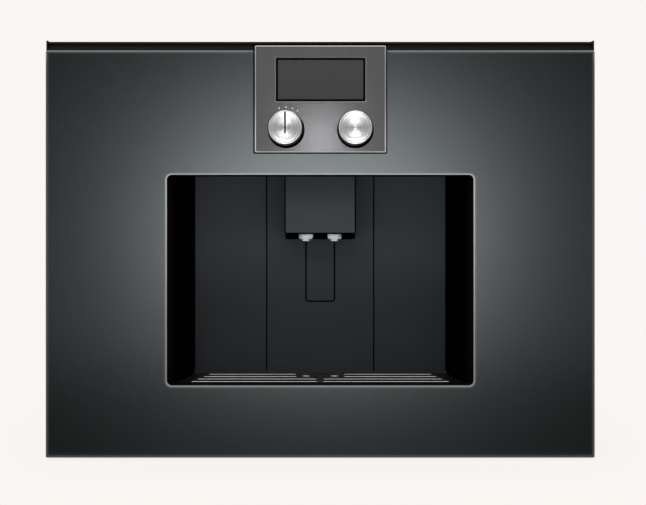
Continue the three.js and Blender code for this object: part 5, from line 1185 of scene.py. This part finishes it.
@dataclass
class Knob:
    """A turned steel knob with a spun, dished face and a dark side; the left one carries a pointer line."""

    name: str
    body: str
    node: str
    pointer: bool
    rim: float = 0.9 * MM
    rim_steps: int = 6
    rims_to_slope: float = 1.6
    rims_to_dish: float = 2.0
    dish: float = 0.25 * MM
    foot: float = 0.5 * MM
    sharp: float = 22.0
    pointer_width: float = 1.9 * MM
    pointer_top: float = 16.6 * MM
    pointer_tail: float = 6.4 * MM
    pointer_proud: float = 0.04 * MM
    pointer_depth: float = 0.5 * MM
    pointer_edge: float = 0.03 * MM
    seat: float = 19.6 * MM
    seat_hole_share: float = 0.4
    shadow_drop: float = 1.3 * MM
    seat_shift: float = 0.6 * MM
    seat_root: float = 0.05 * MM
    seat_edge: float = 0.4 * MM
    seat_lip: float = 0.3 * MM
    seat_crown: float = 0.1 * MM
    seat_segments: int = 72

    def build(self) -> None:
        """Builds the knob, and its pointer if it has one."""
        low, high = span(self.node)
        centre = (low + high) / 2
        radius = (high[0] - low[0]) / 2
        back, front = high[1] - centre[1], low[1] - centre[1]
        floor = front + self.dish
        edge = quarter_round(self.rim, self.rim_steps)
        rim_rows = [(radius - inset, front + self.rim - rise) for inset, rise in edge]
        foot_rows = [(0.0, back), (radius - self.foot, back), (radius, back - self.foot)]
        slope, dish = radius - self.rims_to_slope * self.rim, radius - self.rims_to_dish * self.rim
        face_rows = [rim_rows[-1], (slope, front), (dish, floor), (0.0, floor)]
        finishes = [
            replace(Palette.DIAL, name=f"{self.name}_steel", centre=tuple(centre)),
            replace(Palette.DIAL_SIDE, name=f"{self.name}_side"),
        ]
        face, side = range(len(finishes))
        shell = Shell()
        for rows, finish in ((foot_rows + rim_rows[:1], side), (rim_rows, side), (face_rows, face)):
            shell.grid(turned(rows, centre, Axis.FRONT), finish)
        Piece(f"{self.name}_dial", self.body, "stainless", finishes, [self.node]).add(shell, sharp=self.sharp)
        self._seat_and_shadow(centre, high[1])
        if self.pointer:
            self._pointer(centre, low[1] + self.dish)

    def _seat_and_shadow(self, centre: np.ndarray, back: float) -> None:
        """A black gasket between the knob and the module, a little wider than the knob and set down and to the
        right, where it paints the knob's shadow.

        Args:
            centre: Middle of the knob.
            back: Depth of the knob's back.
        """
        root = span("module_shell")[0][1] - self.seat_root
        lip, crown = back - self.seat_lip, back - self.seat_crown
        hole = self.seat_hole_share * self.seat
        # The ring's centre is moved down and to the right: a painted shadow of the knob.
        around = (centre[0] + self.seat_shift, 0.0, centre[2] - self.shadow_drop)
        outer = self.seat
        rows = [(hole, root), (outer, root), (outer, lip), (outer - self.seat_edge, crown), (hole, crown)]
        ring = Shell().grid(turned(rows, around, Axis.FRONT, self.seat_segments), looped=True)
        Piece(f"{self.name}_seat_and_shadow", "door", "seal_rubber", [Palette.LINER]).add(ring)

    def _pointer(self, centre: np.ndarray, face: float) -> None:
        """A dark line let into the face, from near the rim past the centre.

        Args:
            centre: Middle of the knob.
            face: Depth of the dished face.
        """
        half = self.pointer_width / 2
        line = Shell().box(
            (centre[0] - half, face - self.pointer_proud, centre[2] - self.pointer_tail),
            (centre[0] + half, face + self.pointer_depth, centre[2] + self.pointer_top),
            self.pointer_edge, 1, Axis.FRONT)
        Piece(f"{self.name}_pointer", self.body, "black_moulding", [Palette.POINTER]).add(line)


# ---------------------------------------------------------------- outlet and grate

@dataclass
class Outlet:
    """The hood over the outlet, the black body behind it and the two faceted nozzles below."""

    corner: float = 1.2 * MM
    edge: float = 0.9 * MM
    wall: float = 2.0 * MM
    side_wall: float = 1.1 * MM
    shadow_cheek: float = 1.3 * MM
    cheek_setback: float = 2.5 * MM
    cheek_back: float = 1.5 * MM
    skirt: float = 8.2 * MM
    skirt_depth: float = 20.0 * MM
    skirt_lap: float = 1.0 * MM
    body_edge: float = 0.3 * MM
    facets: int = 12
    seated: float = 0.7 * MM
    nut: float = 6.6 * MM
    nut_chamfer_share: float = 0.14
    nut_sharp: float = 20.0
    tip_share: float = 0.52
    tip_chamfer: float = 0.5 * MM
    tip_wall: float = 1.4 * MM
    tip_segments: int = 48

    def build(self) -> None:
        """Builds the hood, the body and both nozzles."""
        low, high = span("outlet_cover")
        face = front_outline(low, high, self.corner)
        curve = quarter_round(self.edge)
        insets = np.concatenate([[0.0], curve[:, 0]])
        depths = np.concatenate([[high[1]], low[1] + self.edge - curve[:, 1]])
        rim = in_space(face.grown(-insets), depths, Axis.FRONT)
        hollow = in_space(face.grown([-self.side_wall] * 2), [high[1], low[1] + self.wall], Axis.FRONT)
        shell = Shell().grid(rim).cap(rim[-1])
        shell.grid(np.stack([rim[0], hollow[0]])).grid(hollow).cap(hollow[-1])
        Piece("outlet_hood", "outlet", "anthracite_moulding", [Palette.OUTLET], ["outlet_cover"]).add(shell)
        self._body(low, high)
        for side in ("left", "right"):
            self._nozzle(side)

    def _body(self, low: np.ndarray, high: np.ndarray) -> None:
        """The black body behind the hood: a black strip on each side, which paints the shadow line beside the
        hood, and a skirt behind the nozzles.

        Args:
            low: Lowest corner of the hood.
            high: Highest corner of the hood.
        """
        front, back, bottom = low[1] + self.cheek_setback, high[1] - self.cheek_back, low[2] - self.skirt
        # The strips beside the hood stand out black: painted shadow lines.
        left, right = low[0] - self.shadow_cheek, high[0] + self.shadow_cheek
        shell = Shell()
        for x0, x1 in ((left, low[0]), (high[0], right)):
            shell.box((x0, front, low[2]), (x1, back, high[2]), self.body_edge)
        shell.box(
            (left, back - self.skirt_depth, bottom), (right, back, low[2] + self.skirt_lap), self.body_edge)
        Piece("outlet_body", "outlet", "black_moulding", [Palette.LINER]).add(shell)

    def _nozzle(self, side: str) -> None:
        """A faceted nut with a collar and a tip that is open below.

        Args:
            side: Whether it is the left or the right one.
        """
        low, high = span(f"{side}_nozzle")
        centre = ((low[0] + high[0]) / 2, (low[1] + high[1]) / 2, 0.0)
        radius = (high[0] - low[0]) / 2
        chamfer, tip = self.nut_chamfer_share * radius, self.tip_share * radius
        top, bottom = high[2] + self.seated, low[2] + self.seated
        nut_bottom, bore = top - self.nut, tip - self.tip_wall
        nut = turned([
            (0.0, top), (radius - chamfer, top), (radius, top - chamfer), (radius, nut_bottom + chamfer),
            (radius - chamfer, nut_bottom), (0.0, nut_bottom),
        ], centre, Axis.UP, self.facets)
        spout = turned([
            (0.0, nut_bottom + chamfer), (tip, nut_bottom + chamfer), (tip, bottom + self.tip_chamfer),
            (tip - self.tip_chamfer, bottom), (bore, bottom), (bore, nut_bottom), (0.0, nut_bottom),
        ], centre, Axis.UP, self.tip_segments)
        shell = Shell().grid(nut).grid(spout)
        piece = Piece(f"{side}_spout", "outlet", "polished_chrome", [Palette.CHROME_AND_SHEEN], [f"{side}_nozzle"])
        piece.add(shell, sharp=self.nut_sharp)


@dataclass
class Grate:
    """The drip grate: round-topped bars between slanted rails, a spine and a dish under each nozzle."""

    bars: int = 4
    bar: float = 2.2 * MM
    bar_height: float = 1.9 * MM
    lift: float = 0.9 * MM
    rail_depth: float = 4.0 * MM
    rounding: float = 0.7 * MM
    steps: int = 4
    front: float = -174.5 * MM
    back: float = -124.5 * MM
    half_front: float = 141.5 * MM
    half_back: float = 128.0 * MM
    bar_end: float = 0.4 * MM
    bar_lap: float = 1.0 * MM
    spine: float = 8.3 * MM
    spine_end: float = 0.4 * MM
    spine_root: float = 0.1 * MM
    dish: float = 13.5 * MM
    dish_rim: float = 0.75 * MM
    dish_floor: float = 1.5 * MM
    dish_base: float = 3.0 * MM
    dish_chamfer: float = 0.5 * MM
    dish_segments: int = 72
    button: float = 5.5 * MM
    button_foot: float = 2.0 * MM
    button_crown: tuple[Pair, ...] = ((0.8, 0.5 * MM), (0.4, 1.05 * MM), (0.0, 1.2 * MM))
    nozzle_half: float = 16.1 * MM
    nozzle_y: float = -134.0 * MM
    lip_side: float = 2.0 * MM
    lip_front: float = 1.2 * MM
    lip_back: float = 0.2 * MM
    lip_root: float = 0.5 * MM
    lip_rise: float = 2.6 * MM
    lip_edge: float = 0.3 * MM
    merge: float = 1e-8

    def build(self) -> None:
        """Builds the grate as one piece, and the upstand of the deck behind it."""
        high = span("drip_grid")[1]
        top, bottom = high[2] + self.lift, high[2] - self.rail_depth
        rows = np.linspace(self.front, self.back, self.bars)
        finishes = [Palette.GRATE, Palette.BLACK, Palette.DISH_BUTTON_GLINT]
        steel, black, bright = range(len(finishes))
        shell = Shell()
        for y in rows:
            half = np.interp(y, rows[[0, -1]], [self.half_front, self.half_back]) - self.bar_end
            reach = math.sqrt(max(self.dish ** 2 - (y - self.nozzle_y) ** 2, 0.0))
            inner = (self.nozzle_half + reach if reach else self.spine / 2) - self.bar_lap
            for x0, x1 in ((-half, -inner), (inner, half)):
                shell.box(
                    (x0, y - self.bar / 2, top - self.bar_height), (x1, y + self.bar / 2, top),
                    self.rounding, self.steps, Axis.SIDE, steel)
        for side in (-1, 1):
            self._rail(shell, side, rows, bottom, top)
            self._dish(shell, side, top, black, bright)
        shell.box(
            (-self.spine / 2, rows[0] - self.spine_end, bottom + self.spine_root),
            (self.spine / 2, rows[-1] + self.spine_end, top), self.rounding, self.steps, Axis.FRONT, black)
        self._lip()
        Piece("drip_grate", "drip_grid", "stainless", finishes, ["drip_grid"]).add(shell, self.merge)

    def _lip(self) -> None:
        """The upstand along the back of the deck."""
        low, high = span("tray_deck")
        lip = Shell().box(
            (low[0] + self.lip_side, high[1] - self.lip_front, high[2] - self.lip_root),
            (high[0] - self.lip_side, high[1] - self.lip_back, high[2] + self.lip_rise),
            self.lip_edge, 2, Axis.SIDE)
        Piece("deck_lip", "tray", "stainless", [Palette.LIP]).add(lip)

    def _rail(self, shell: Shell, side: int, rows: np.ndarray, bottom: float, top: float) -> None:
        """A slanted rail: the section slides sideways as it goes back.

        Args:
            shell: The grate's surface.
            side: Minus one on the left, one on the right.
            rows: Depths of the bars.
            bottom: Height of the rail's underside.
            top: Height of its top.
        """
        outline = rounded_rectangle((-self.bar / 2, bottom), (self.bar / 2, top), self.rounding, self.steps)
        halves = np.array([self.half_front, self.half_back]) - self.bar / 2
        loops = in_space(np.stack([outline.points] * 2), rows[[0, -1]], Axis.FRONT)
        loops[..., 0] += side * halves[:, None]
        shell.closed(loops)

    def _dish(self, shell: Shell, side: int, top: float, black: int, bright: int) -> None:
        """A shallow dish with a rolled rim and a raised middle.

        Args:
            shell: The grate's surface.
            side: Minus one on the left, one on the right.
            top: Height of the rim.
            black: Number of the dish's finish.
            bright: Number of the finish of its raised middle.
        """
        radius, rim = self.dish, self.dish_rim
        floor, base = top - self.dish_floor, top - self.dish_base
        roll = quarter_round(rim, self.steps)
        outer = [(radius - inset, top - rim + rise) for inset, rise in roll]
        inner = [(radius - 2 * rim + inset, top - rim + rise) for inset, rise in roll[::-1]]
        foot = [(self.button + self.button_foot, floor), (self.button, floor)]
        crown = [(self.button * share, floor + rise) for share, rise in self.button_crown]
        under = [(0.0, base), (radius - self.dish_chamfer, base), (radius, base + self.dish_chamfer)]
        centre = (side * self.nozzle_half, self.nozzle_y, 0.0)
        for profile, finish in (([*under, *outer, *inner, *foot, crown[0]], black), (crown, bright)):
            shell.grid(turned(profile, centre, Axis.UP, self.dish_segments), finish)


# ---------------------------------------------------------------- the rest of the machine

@dataclass
class Strip:
    """A dark sheet behind the slots of the warm-air strip, which paints the shade inside them, and the seal
    along its top.
    """

    inset: float = 1.0 * MM
    channel: float = 4.2 * MM
    thickness: float = 0.6 * MM
    backing_top: float = 8.0 * MM
    backing_edge: float = 0.2 * MM
    height: float = 9.0 * MM
    cap: float = 0.25 * MM
    cap_root: float = 0.6 * MM
    cap_depth: float = 1.6 * MM
    cap_edge: float = 0.2 * MM

    def build(self) -> None:
        """Builds the dark sheet and the seal."""
        low, high = span("vent_strip")
        face = low[1] + self.channel
        backing = Shell().box(
            (low[0] + self.inset, face, low[2] + self.inset),
            (high[0] - self.inset, face + self.thickness, low[2] + self.backing_top),
            self.backing_edge, 1, Axis.FRONT)
        Piece("strip_shade_backing", "housing", "black_moulding", [Palette.STRIP]).add(backing)
        top = low[2] + self.height
        cap = Shell().box(
            (low[0], low[1], top - self.cap_root), (high[0], low[1] + self.cap_depth, top + self.cap),
            self.cap_edge, 2, Axis.SIDE)
        Piece("strip_cap", "housing", "black_moulding", [Palette.LINER]).add(cap)


@dataclass
class Skin:
    """A copy of a solid with rounded edges, moved a little if need be, that takes the solid's place."""

    node: str
    body: str
    slot: str
    finish: Finish
    width: float = 0.5 * MM
    shift: Vector3 = (0.0, 0.0, 0.0)
    merge: float = 0.001 * MM
    flat_degrees: float = 1.0
    sharp_degrees: float = 30.0
    bevel_degrees: float = 40.0
    segments: int = 2

    def build(self) -> None:
        """Copies the solid's mesh, merges it, and rounds its edges."""
        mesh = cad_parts[self.node].data.copy()
        work = bmesh.new()
        work.from_mesh(mesh)
        bmesh.ops.remove_doubles(work, verts=work.verts, dist=self.merge)
        flat = math.radians(self.flat_degrees)
        bmesh.ops.dissolve_limit(work, angle_limit=flat, verts=work.verts, edges=work.edges)
        bmesh.ops.translate(work, vec=self.shift, verts=work.verts)
        work.to_mesh(mesh)
        work.free()
        mesh.materials.clear()
        mesh.polygons.foreach_set("use_smooth", [True] * len(mesh.polygons))
        mesh.set_sharp_from_angle(angle=math.radians(self.sharp_degrees))
        piece = Piece(f"{self.node}_skin", self.body, self.slot, [self.finish], [self.node]).seat(mesh)
        round_edges = piece.modifiers.new("round_edges", "BEVEL")
        round_edges.width = self.width
        round_edges.segments = self.segments
        round_edges.angle_limit = math.radians(self.bevel_degrees)
        round_edges.harden_normals = True


@dataclass
class Screws:
    """Dome-headed screws with a six-sided socket on one flat face; the dome is (radius, rise) in shares."""

    name: str
    body: str
    axis: Axis
    face: float
    side: int
    places: Sequence[Pair]
    radius: float = 3.4 * MM
    height: float = 0.95 * MM
    socket: float = 1.5 * MM
    socket_floor: float = 0.1
    segments: int = 24
    dome: tuple[Pair, ...] = ((1.0, -0.5), (1.0, 0.35), (0.9, 0.7), (0.72, 0.93), (0.56, 1.0))

    def build(self) -> None:
        """Builds all the heads as one piece; the socket's radius goes as 1 / cos of the angle to a side."""
        turn = np.linspace(0, 2 * np.pi, self.segments, endpoint=False)
        circle = np.stack([np.cos(turn), np.sin(turn)], -1)
        chord = np.cos(np.pi / 6) / np.cos(turn % (np.pi / 3) - np.pi / 6)
        socket = self.socket * circle * chord[:, None]
        loops = [share * self.radius * circle for share, _ in self.dome] + [socket] * 2
        rises = np.array([rise for _, rise in self.dome] + [1.0, self.socket_floor]) * self.height
        head = in_space(np.stack(loops), self.face + self.side * rises, self.axis)
        first, second, _ = self.axis.value
        shell = Shell()
        for place in self.places:
            moved = head.copy()
            moved[..., [first, second]] += place
            shell.closed(moved)
        Piece(self.name, self.body, "stainless", [Palette.SCREW]).add(shell)


@dataclass
class Casing:
    """What a close look finds on the sheet-metal box: ribs, screws and the felt behind the rear vents."""

    side: float = 279.0 * MM
    rib_rise: float = 1.0 * MM
    rib_half: float = 5.0 * MM
    rib_steps: int = 4
    rib_reach: Pair = (-140.0 * MM, 150.0 * MM)
    rib_heights: tuple[float, ...] = (90.0 * MM, 180.0 * MM)
    edge_inset: float = 9.0 * MM
    rear_setback: float = 1.0 * MM
    door_columns: int = 5
    door_extra_heights: tuple[float, ...] = (150.0 * MM, 300.0 * MM)
    felt_low: Vector3 = (-235.0 * MM, 172.0 * MM, 295.0 * MM)
    felt_high: Vector3 = (235.0 * MM, 173.0 * MM, 420.0 * MM)
    backing_edge: float = 0.2 * MM

    def build(self) -> None:
        """Builds the ribs, the screws and the felt."""
        for name, sign in (("left", -1), ("right", 1)):
            shell = Shell()
            for height in self.rib_heights:
                faces = sorted((sign * (self.side - self.rib_rise), sign * (self.side + self.rib_rise)))
                shell.box(
                    (faces[0], self.rib_reach[0], height - self.rib_half),
                    (faces[1], self.rib_reach[1], height + self.rib_half),
                    self.rib_rise, self.rib_steps, Axis.SIDE)
            Piece(f"{name}_ribs", "housing", "sheet_steel", [Palette.ZINC]).add(shell)
        backing = Shell().box(self.felt_low, self.felt_high, self.backing_edge, 1, Axis.FRONT)
        Piece("rear_felt", "housing", "black_moulding", [Palette.LINER]).add(backing)
        for screws in self._screws():
            screws.build()

    def _screws(self) -> list[Screws]:
        """Screws round the edges of each panel, and round the inside of the door.

        Returns:
            The rows of screws.
        """
        inset = self.edge_inset
        low, high = span("left_side_panel")
        depths = (low[1] + 2 * inset, (low[1] + high[1]) / 2, high[1] - inset)
        heights = (low[2] + inset, high[2] - inset)
        sides = [(y, z) for y in depths for z in heights]
        wide = self.side - inset
        top = [(x, y) for x in (-wide, wide) for y in depths] + [(0.0, high[1] - inset)]
        rear = [(x, z) for x in (-wide, 0.0, wide) for z in heights]
        door_low, door_high = span("door_cover")
        rows = (door_low[2] + inset, door_high[2] - inset)
        columns = np.linspace(door_low[0] + 2 * inset, door_high[0] - 2 * inset, self.door_columns)
        door = [(x, z) for x in columns for z in rows] + [(columns[-1], z) for z in self.door_extra_heights]
        top_face, rear_face = span("top_panel")[1][2], span("rear_panel")[1][1] - self.rear_setback
        return [
            Screws("left_side_screws", "housing", Axis.SIDE, -self.side, -1, sides),
            Screws("right_side_screws", "housing", Axis.SIDE, self.side, 1, sides),
            Screws("top_screws", "housing", Axis.UP, top_face, 1, top),
            Screws("rear_screws", "housing", Axis.FRONT, rear_face, 1, rear),
            Screws("door_screws", "door", Axis.FRONT, door_high[1], 1, door),
        ]


class Dressing:
    """Gives every solid that stays its finish."""

    FINISHES: dict[Finish, tuple[str, ...]] = {
        Palette.ZINC: (
            "base_pan", "lower_hinge_arm", "upper_hinge_arm", "catch_plate", "grinder_motor"),
        Palette.MACHINED: ("lower_hinge_pin", "upper_hinge_pin", "left_knob_shaft", "right_knob_shaft"),
        Palette.BLACK: (
            "outlet_rail", "drip_tray", "grounds_container", "brew_frame", "catch_magnet",
            "power_inlet", "switch_body", "power_rocker", "grinder_housing", "grind_dial"),
        Palette.LINER: ("niche_liner", "outlet_carriage"),
        Palette.FRAME: ("door_frame", "front_frame", "door_cover"),
        Palette.STRIP: ("vent_strip",),
        Palette.DECK: ("tray_deck",),
        Palette.ANTHRACITE: ("coffee_chute",),
        Palette.NICHE_PANEL: ("centre_niche_panel",),
        Palette.GREY: (
            "inner_chassis", "left_tray_runner", "right_tray_runner", "brew_cylinder", "brew_piston",
            "brew_lever", "pump"),
        Palette.CLEAR: ("water_tank", "bean_container"),
        Palette.CAST: ("thermoblock",),
        Palette.RUBBER: ("door_seal",),
        Palette.BOARD: ("control_board", "module_board"),
    }

    def build(self) -> None:
        """Puts each finish on its solids."""
        for finish, nodes in self.FINISHES.items():
            for node in nodes:
                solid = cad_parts[node]
                solid.data.materials.clear()
                solid.data.materials.append(finish.material())
            LOG.info("%s: %d solids", finish.name, len(nodes))


# ---------------------------------------------------------------- studio

@dataclass(frozen=True)
class Lamp:
    """A soft lamp that looks at a target and lights everything, or only the named pieces."""

    name: str
    place: Vector3
    target: Vector3
    size: Pair
    power: float
    only: tuple[str, ...] = ()

    def build(self) -> None:
        """Builds the lamp: a rectangle for the whole room, an ellipse for named pieces."""
        data = bpy.data.lights.new(self.name, "AREA")
        data.shape = "ELLIPSE" if self.only else "RECTANGLE"
        data.size, data.size_y = self.size
        data.energy = self.power
        lamp = bpy.data.objects.new(self.name, data)
        lamp.location = self.place
        aim = np.array(self.target) - np.array(self.place)
        tilt = math.atan2(math.hypot(aim[0], aim[1]), -aim[2])
        lamp.rotation_euler = (tilt, 0.0, math.atan2(aim[1], aim[0]) - math.pi / 2)
        bpy.context.scene.collection.objects.link(lamp)
        if self.only:
            lit = bpy.data.collections.new(f"{self.name}_lit")
            for piece in self.only:
                lit.objects.link(bpy.data.objects[piece])
            lamp.light_linking.receiver_collection = lit


@dataclass
class Studio:
    """A pale floor, soft lamps, a world that differs by kind of ray, and the camera of the photograph.

    A pair of places is where a shade starts and where it is full; on the floor they are distances from the
    middle, with the front at minus y.
    """

    backdrop: Vector3 = (0.955, 0.922, 0.896)
    glass_front: float = -0.199
    distance: float = 1.178
    eye_height: float = 0.2804
    lens: float = 61.17
    sensor: float = 36.0
    shift: Pair = (0.0043, -0.0834)
    behind: Pair = (-0.65, 0.0)
    above: Pair = (0.18, 0.46)
    room_least: float = 0.12
    daylight: float = 0.85
    floor_reach: float = 6.0
    footprint: Pair = (0.29, 0.2)
    shadow_reach: float = 0.15
    contact: float = 0.1
    front_least: float = 0.1
    far: Pair = (-2.2, -1.6)
    flag_front: Pair = (-1.1, -0.8)
    flag_back: Pair = (-0.235, -0.2)
    flag_side: Pair = (0.6, 0.9)
    lamps: tuple[Lamp, ...] = (
        Lamp("overhead_softbox", (0.0, -0.75, 1.75), (0.0, -0.1, 0.2), (1.5, 0.9), 6.5),
        Lamp("key_softbox", (-0.12, -1.75, 1.4), (0.0, -0.2, 0.3), (1.2, 0.5), 6.0),
        Lamp("steel_glow", (0.0, -2.1, 0.425), (0.0, -0.2, 0.34), (0.12, 0.12), 0.105, ("module_face",)),
        Lamp("dial_glow", (0.08, -2.0, 1.3), (0.0, -0.2, 0.35), (1.4, 0.7), 9.0, ("left_dial", "right_dial")),
        Lamp("pane_glow", (0.0, -2.1, 0.2), (0.0, -0.2, 0.25), (0.75, 0.48), 34.0, ("door_pane",)),
        Lamp(
            "spout_glow", (0.0, -1.9, 0.6), (0.0, -0.1, 0.24), (0.5, 0.3), 7.0,
            ("left_spout", "right_spout")),
    )

    def build(self) -> None:
        """Builds camera, world, floor and lamps."""
        self._camera()
        self._world()
        self._floor()
        for lamp in self.lamps:
            lamp.build()

    def _camera(self) -> None:
        """The camera stands level in front of the machine."""
        data = bpy.data.cameras.new("camera")
        data.lens = self.lens
        data.sensor_width = self.sensor
        data.shift_x, data.shift_y = self.shift
        camera = bpy.data.objects.new("camera", data)
        camera.location = (0.0, self.glass_front - self.distance, self.eye_height)
        camera.rotation_euler = (math.pi / 2, 0.0, 0.0)
        bpy.context.scene.collection.objects.link(camera)
        bpy.context.scene.camera = camera
        bpy.context.scene.view_settings.view_transform = "Standard"

    def _world(self) -> None:
        """The backdrop for the camera; for gloss white behind and above, and dim towards the front."""
        world = bpy.data.worlds.new("studio")
        bpy.context.scene.world = world
        world.use_nodes = True
        graph = Graph(world.node_tree)
        _, y, z = graph.axes(graph.add("ShaderNodeTexCoord", output="Generated"))
        bright = graph.smooth(y, *self.behind).most(graph.smooth(z, *self.above))
        room = bright * (1 - self.room_least) + self.room_least
        camera, glossy, clear = graph.rays("Camera", "Glossy", "Transmission")
        shown = camera.most(clear)
        strength = shown + (1.0 - shown) * (glossy * room + (1.0 - glossy) * self.daylight)
        inputs = {"Color": (*self.backdrop, 1.0), "Strength": strength}
        background = graph.add("ShaderNodeBackground", inputs=inputs)
        graph.add("ShaderNodeOutputWorld", inputs={"Surface": background})

    def _floor(self) -> None:
        """A wide pale floor in the backdrop's colour, with a soft shadow close round the machine."""
        mesh = bpy.data.meshes.new("floor")
        reach = self.floor_reach
        corners = [(-reach, -reach, 0.0), (reach, -reach, 0.0), (reach, reach, 0.0), (-reach, reach, 0.0)]
        mesh.from_pydata(corners, [], [(0, 1, 2, 3)])
        mesh.materials.append(self._floor_material())
        floor = bpy.data.objects.new("floor", mesh)
        bpy.context.scene.collection.objects.link(floor)

    def _floor_material(self) -> bpy.types.Material:
        """The backdrop's colour to the camera, with a contact shadow; dimmer in front to every other ray.

        The contact shadow goes by the distance to the footprint: the root of sideways squared plus lengthways
        squared. The flag is the dark patch of floor in front, which the pane would otherwise reflect.

        Returns:
            The material.
        """
        material = bpy.data.materials.new("pale_floor")
        material.use_nodes = True
        graph = Graph(material.node_tree)
        x, y, _ = graph.axes(graph.place())
        sideways = (x.size() - self.footprint[0]).most(0.0)
        lengthways = (y.size() - self.footprint[1]).most(0.0)
        off = (sideways ** 2.0 + lengthways ** 2.0).root()
        near = graph.smooth(off, 0.0, self.shadow_reach, (self.contact, 0.0))
        far = graph.smooth(y, *self.far)
        flag = graph.smooth(y, *self.flag_front) * graph.smooth(y, *self.flag_back, (1.0, 0.0))
        flag = flag * graph.smooth(x.size(), *self.flag_side, (1.0, 0.0))
        front = self.front_least + (1 - self.front_least) * far * (1.0 - flag)
        camera, glossy, clear = graph.rays("Camera", "Glossy", "Transmission")
        shown = camera.most(clear)
        colour = (*self.backdrop, 1.0)
        matte = graph.add("ShaderNodeBsdfDiffuse", inputs={"Color": colour})
        strength = shown + (1.0 - shown) * front
        glow = graph.add("ShaderNodeEmission", inputs={"Color": colour, "Strength": strength})
        share = shown * (1.0 - near) + (1.0 - shown) * glossy
        look = graph.add("ShaderNodeMixShader", inputs={0: share, 1: matte, 2: glow})
        graph.add("ShaderNodeOutputMaterial", inputs={"Surface": look})
        return material


def main() -> None:
    """Builds the machine and its studio in order."""
    logging.basicConfig(level=logging.INFO, format="%(message)s")
    casing = Casing()
    inwards = (0.0, -casing.rear_setback, 0.0)
    makers = [
        Door(),
        Module(),
        Knob("left", "left_knob", "left_knob", True),
        Knob("right", "right_knob", "right_knob", False),
        Outlet(),
        Grate(),
        Strip(),
        casing,
        *(Skin(node, "housing", "anthracite_moulding", Palette.NICHE_PANEL, SHEET_EDGE)
          for node in ("left_niche_panel", "right_niche_panel")),
        *(Skin(f"{front}_front", body, "anthracite_moulding", Palette.ANTHRACITE)
          for front, body in (("tray", "tray"), ("tank", "tank"), ("bean", "bean_drawer"))),
        Skin("rear_panel", "housing", "sheet_steel", Palette.ZINC, REAR_SHEET_EDGE, inwards),
        *(Skin(node, "housing", "sheet_steel", Palette.ZINC, SHEET_EDGE)
          for node in ("left_side_panel", "right_side_panel", "top_panel")),
        Dressing(),
        Studio(),
    ]
    for maker in makers:
        maker.build()


if __name__ == "__main__":
    main()
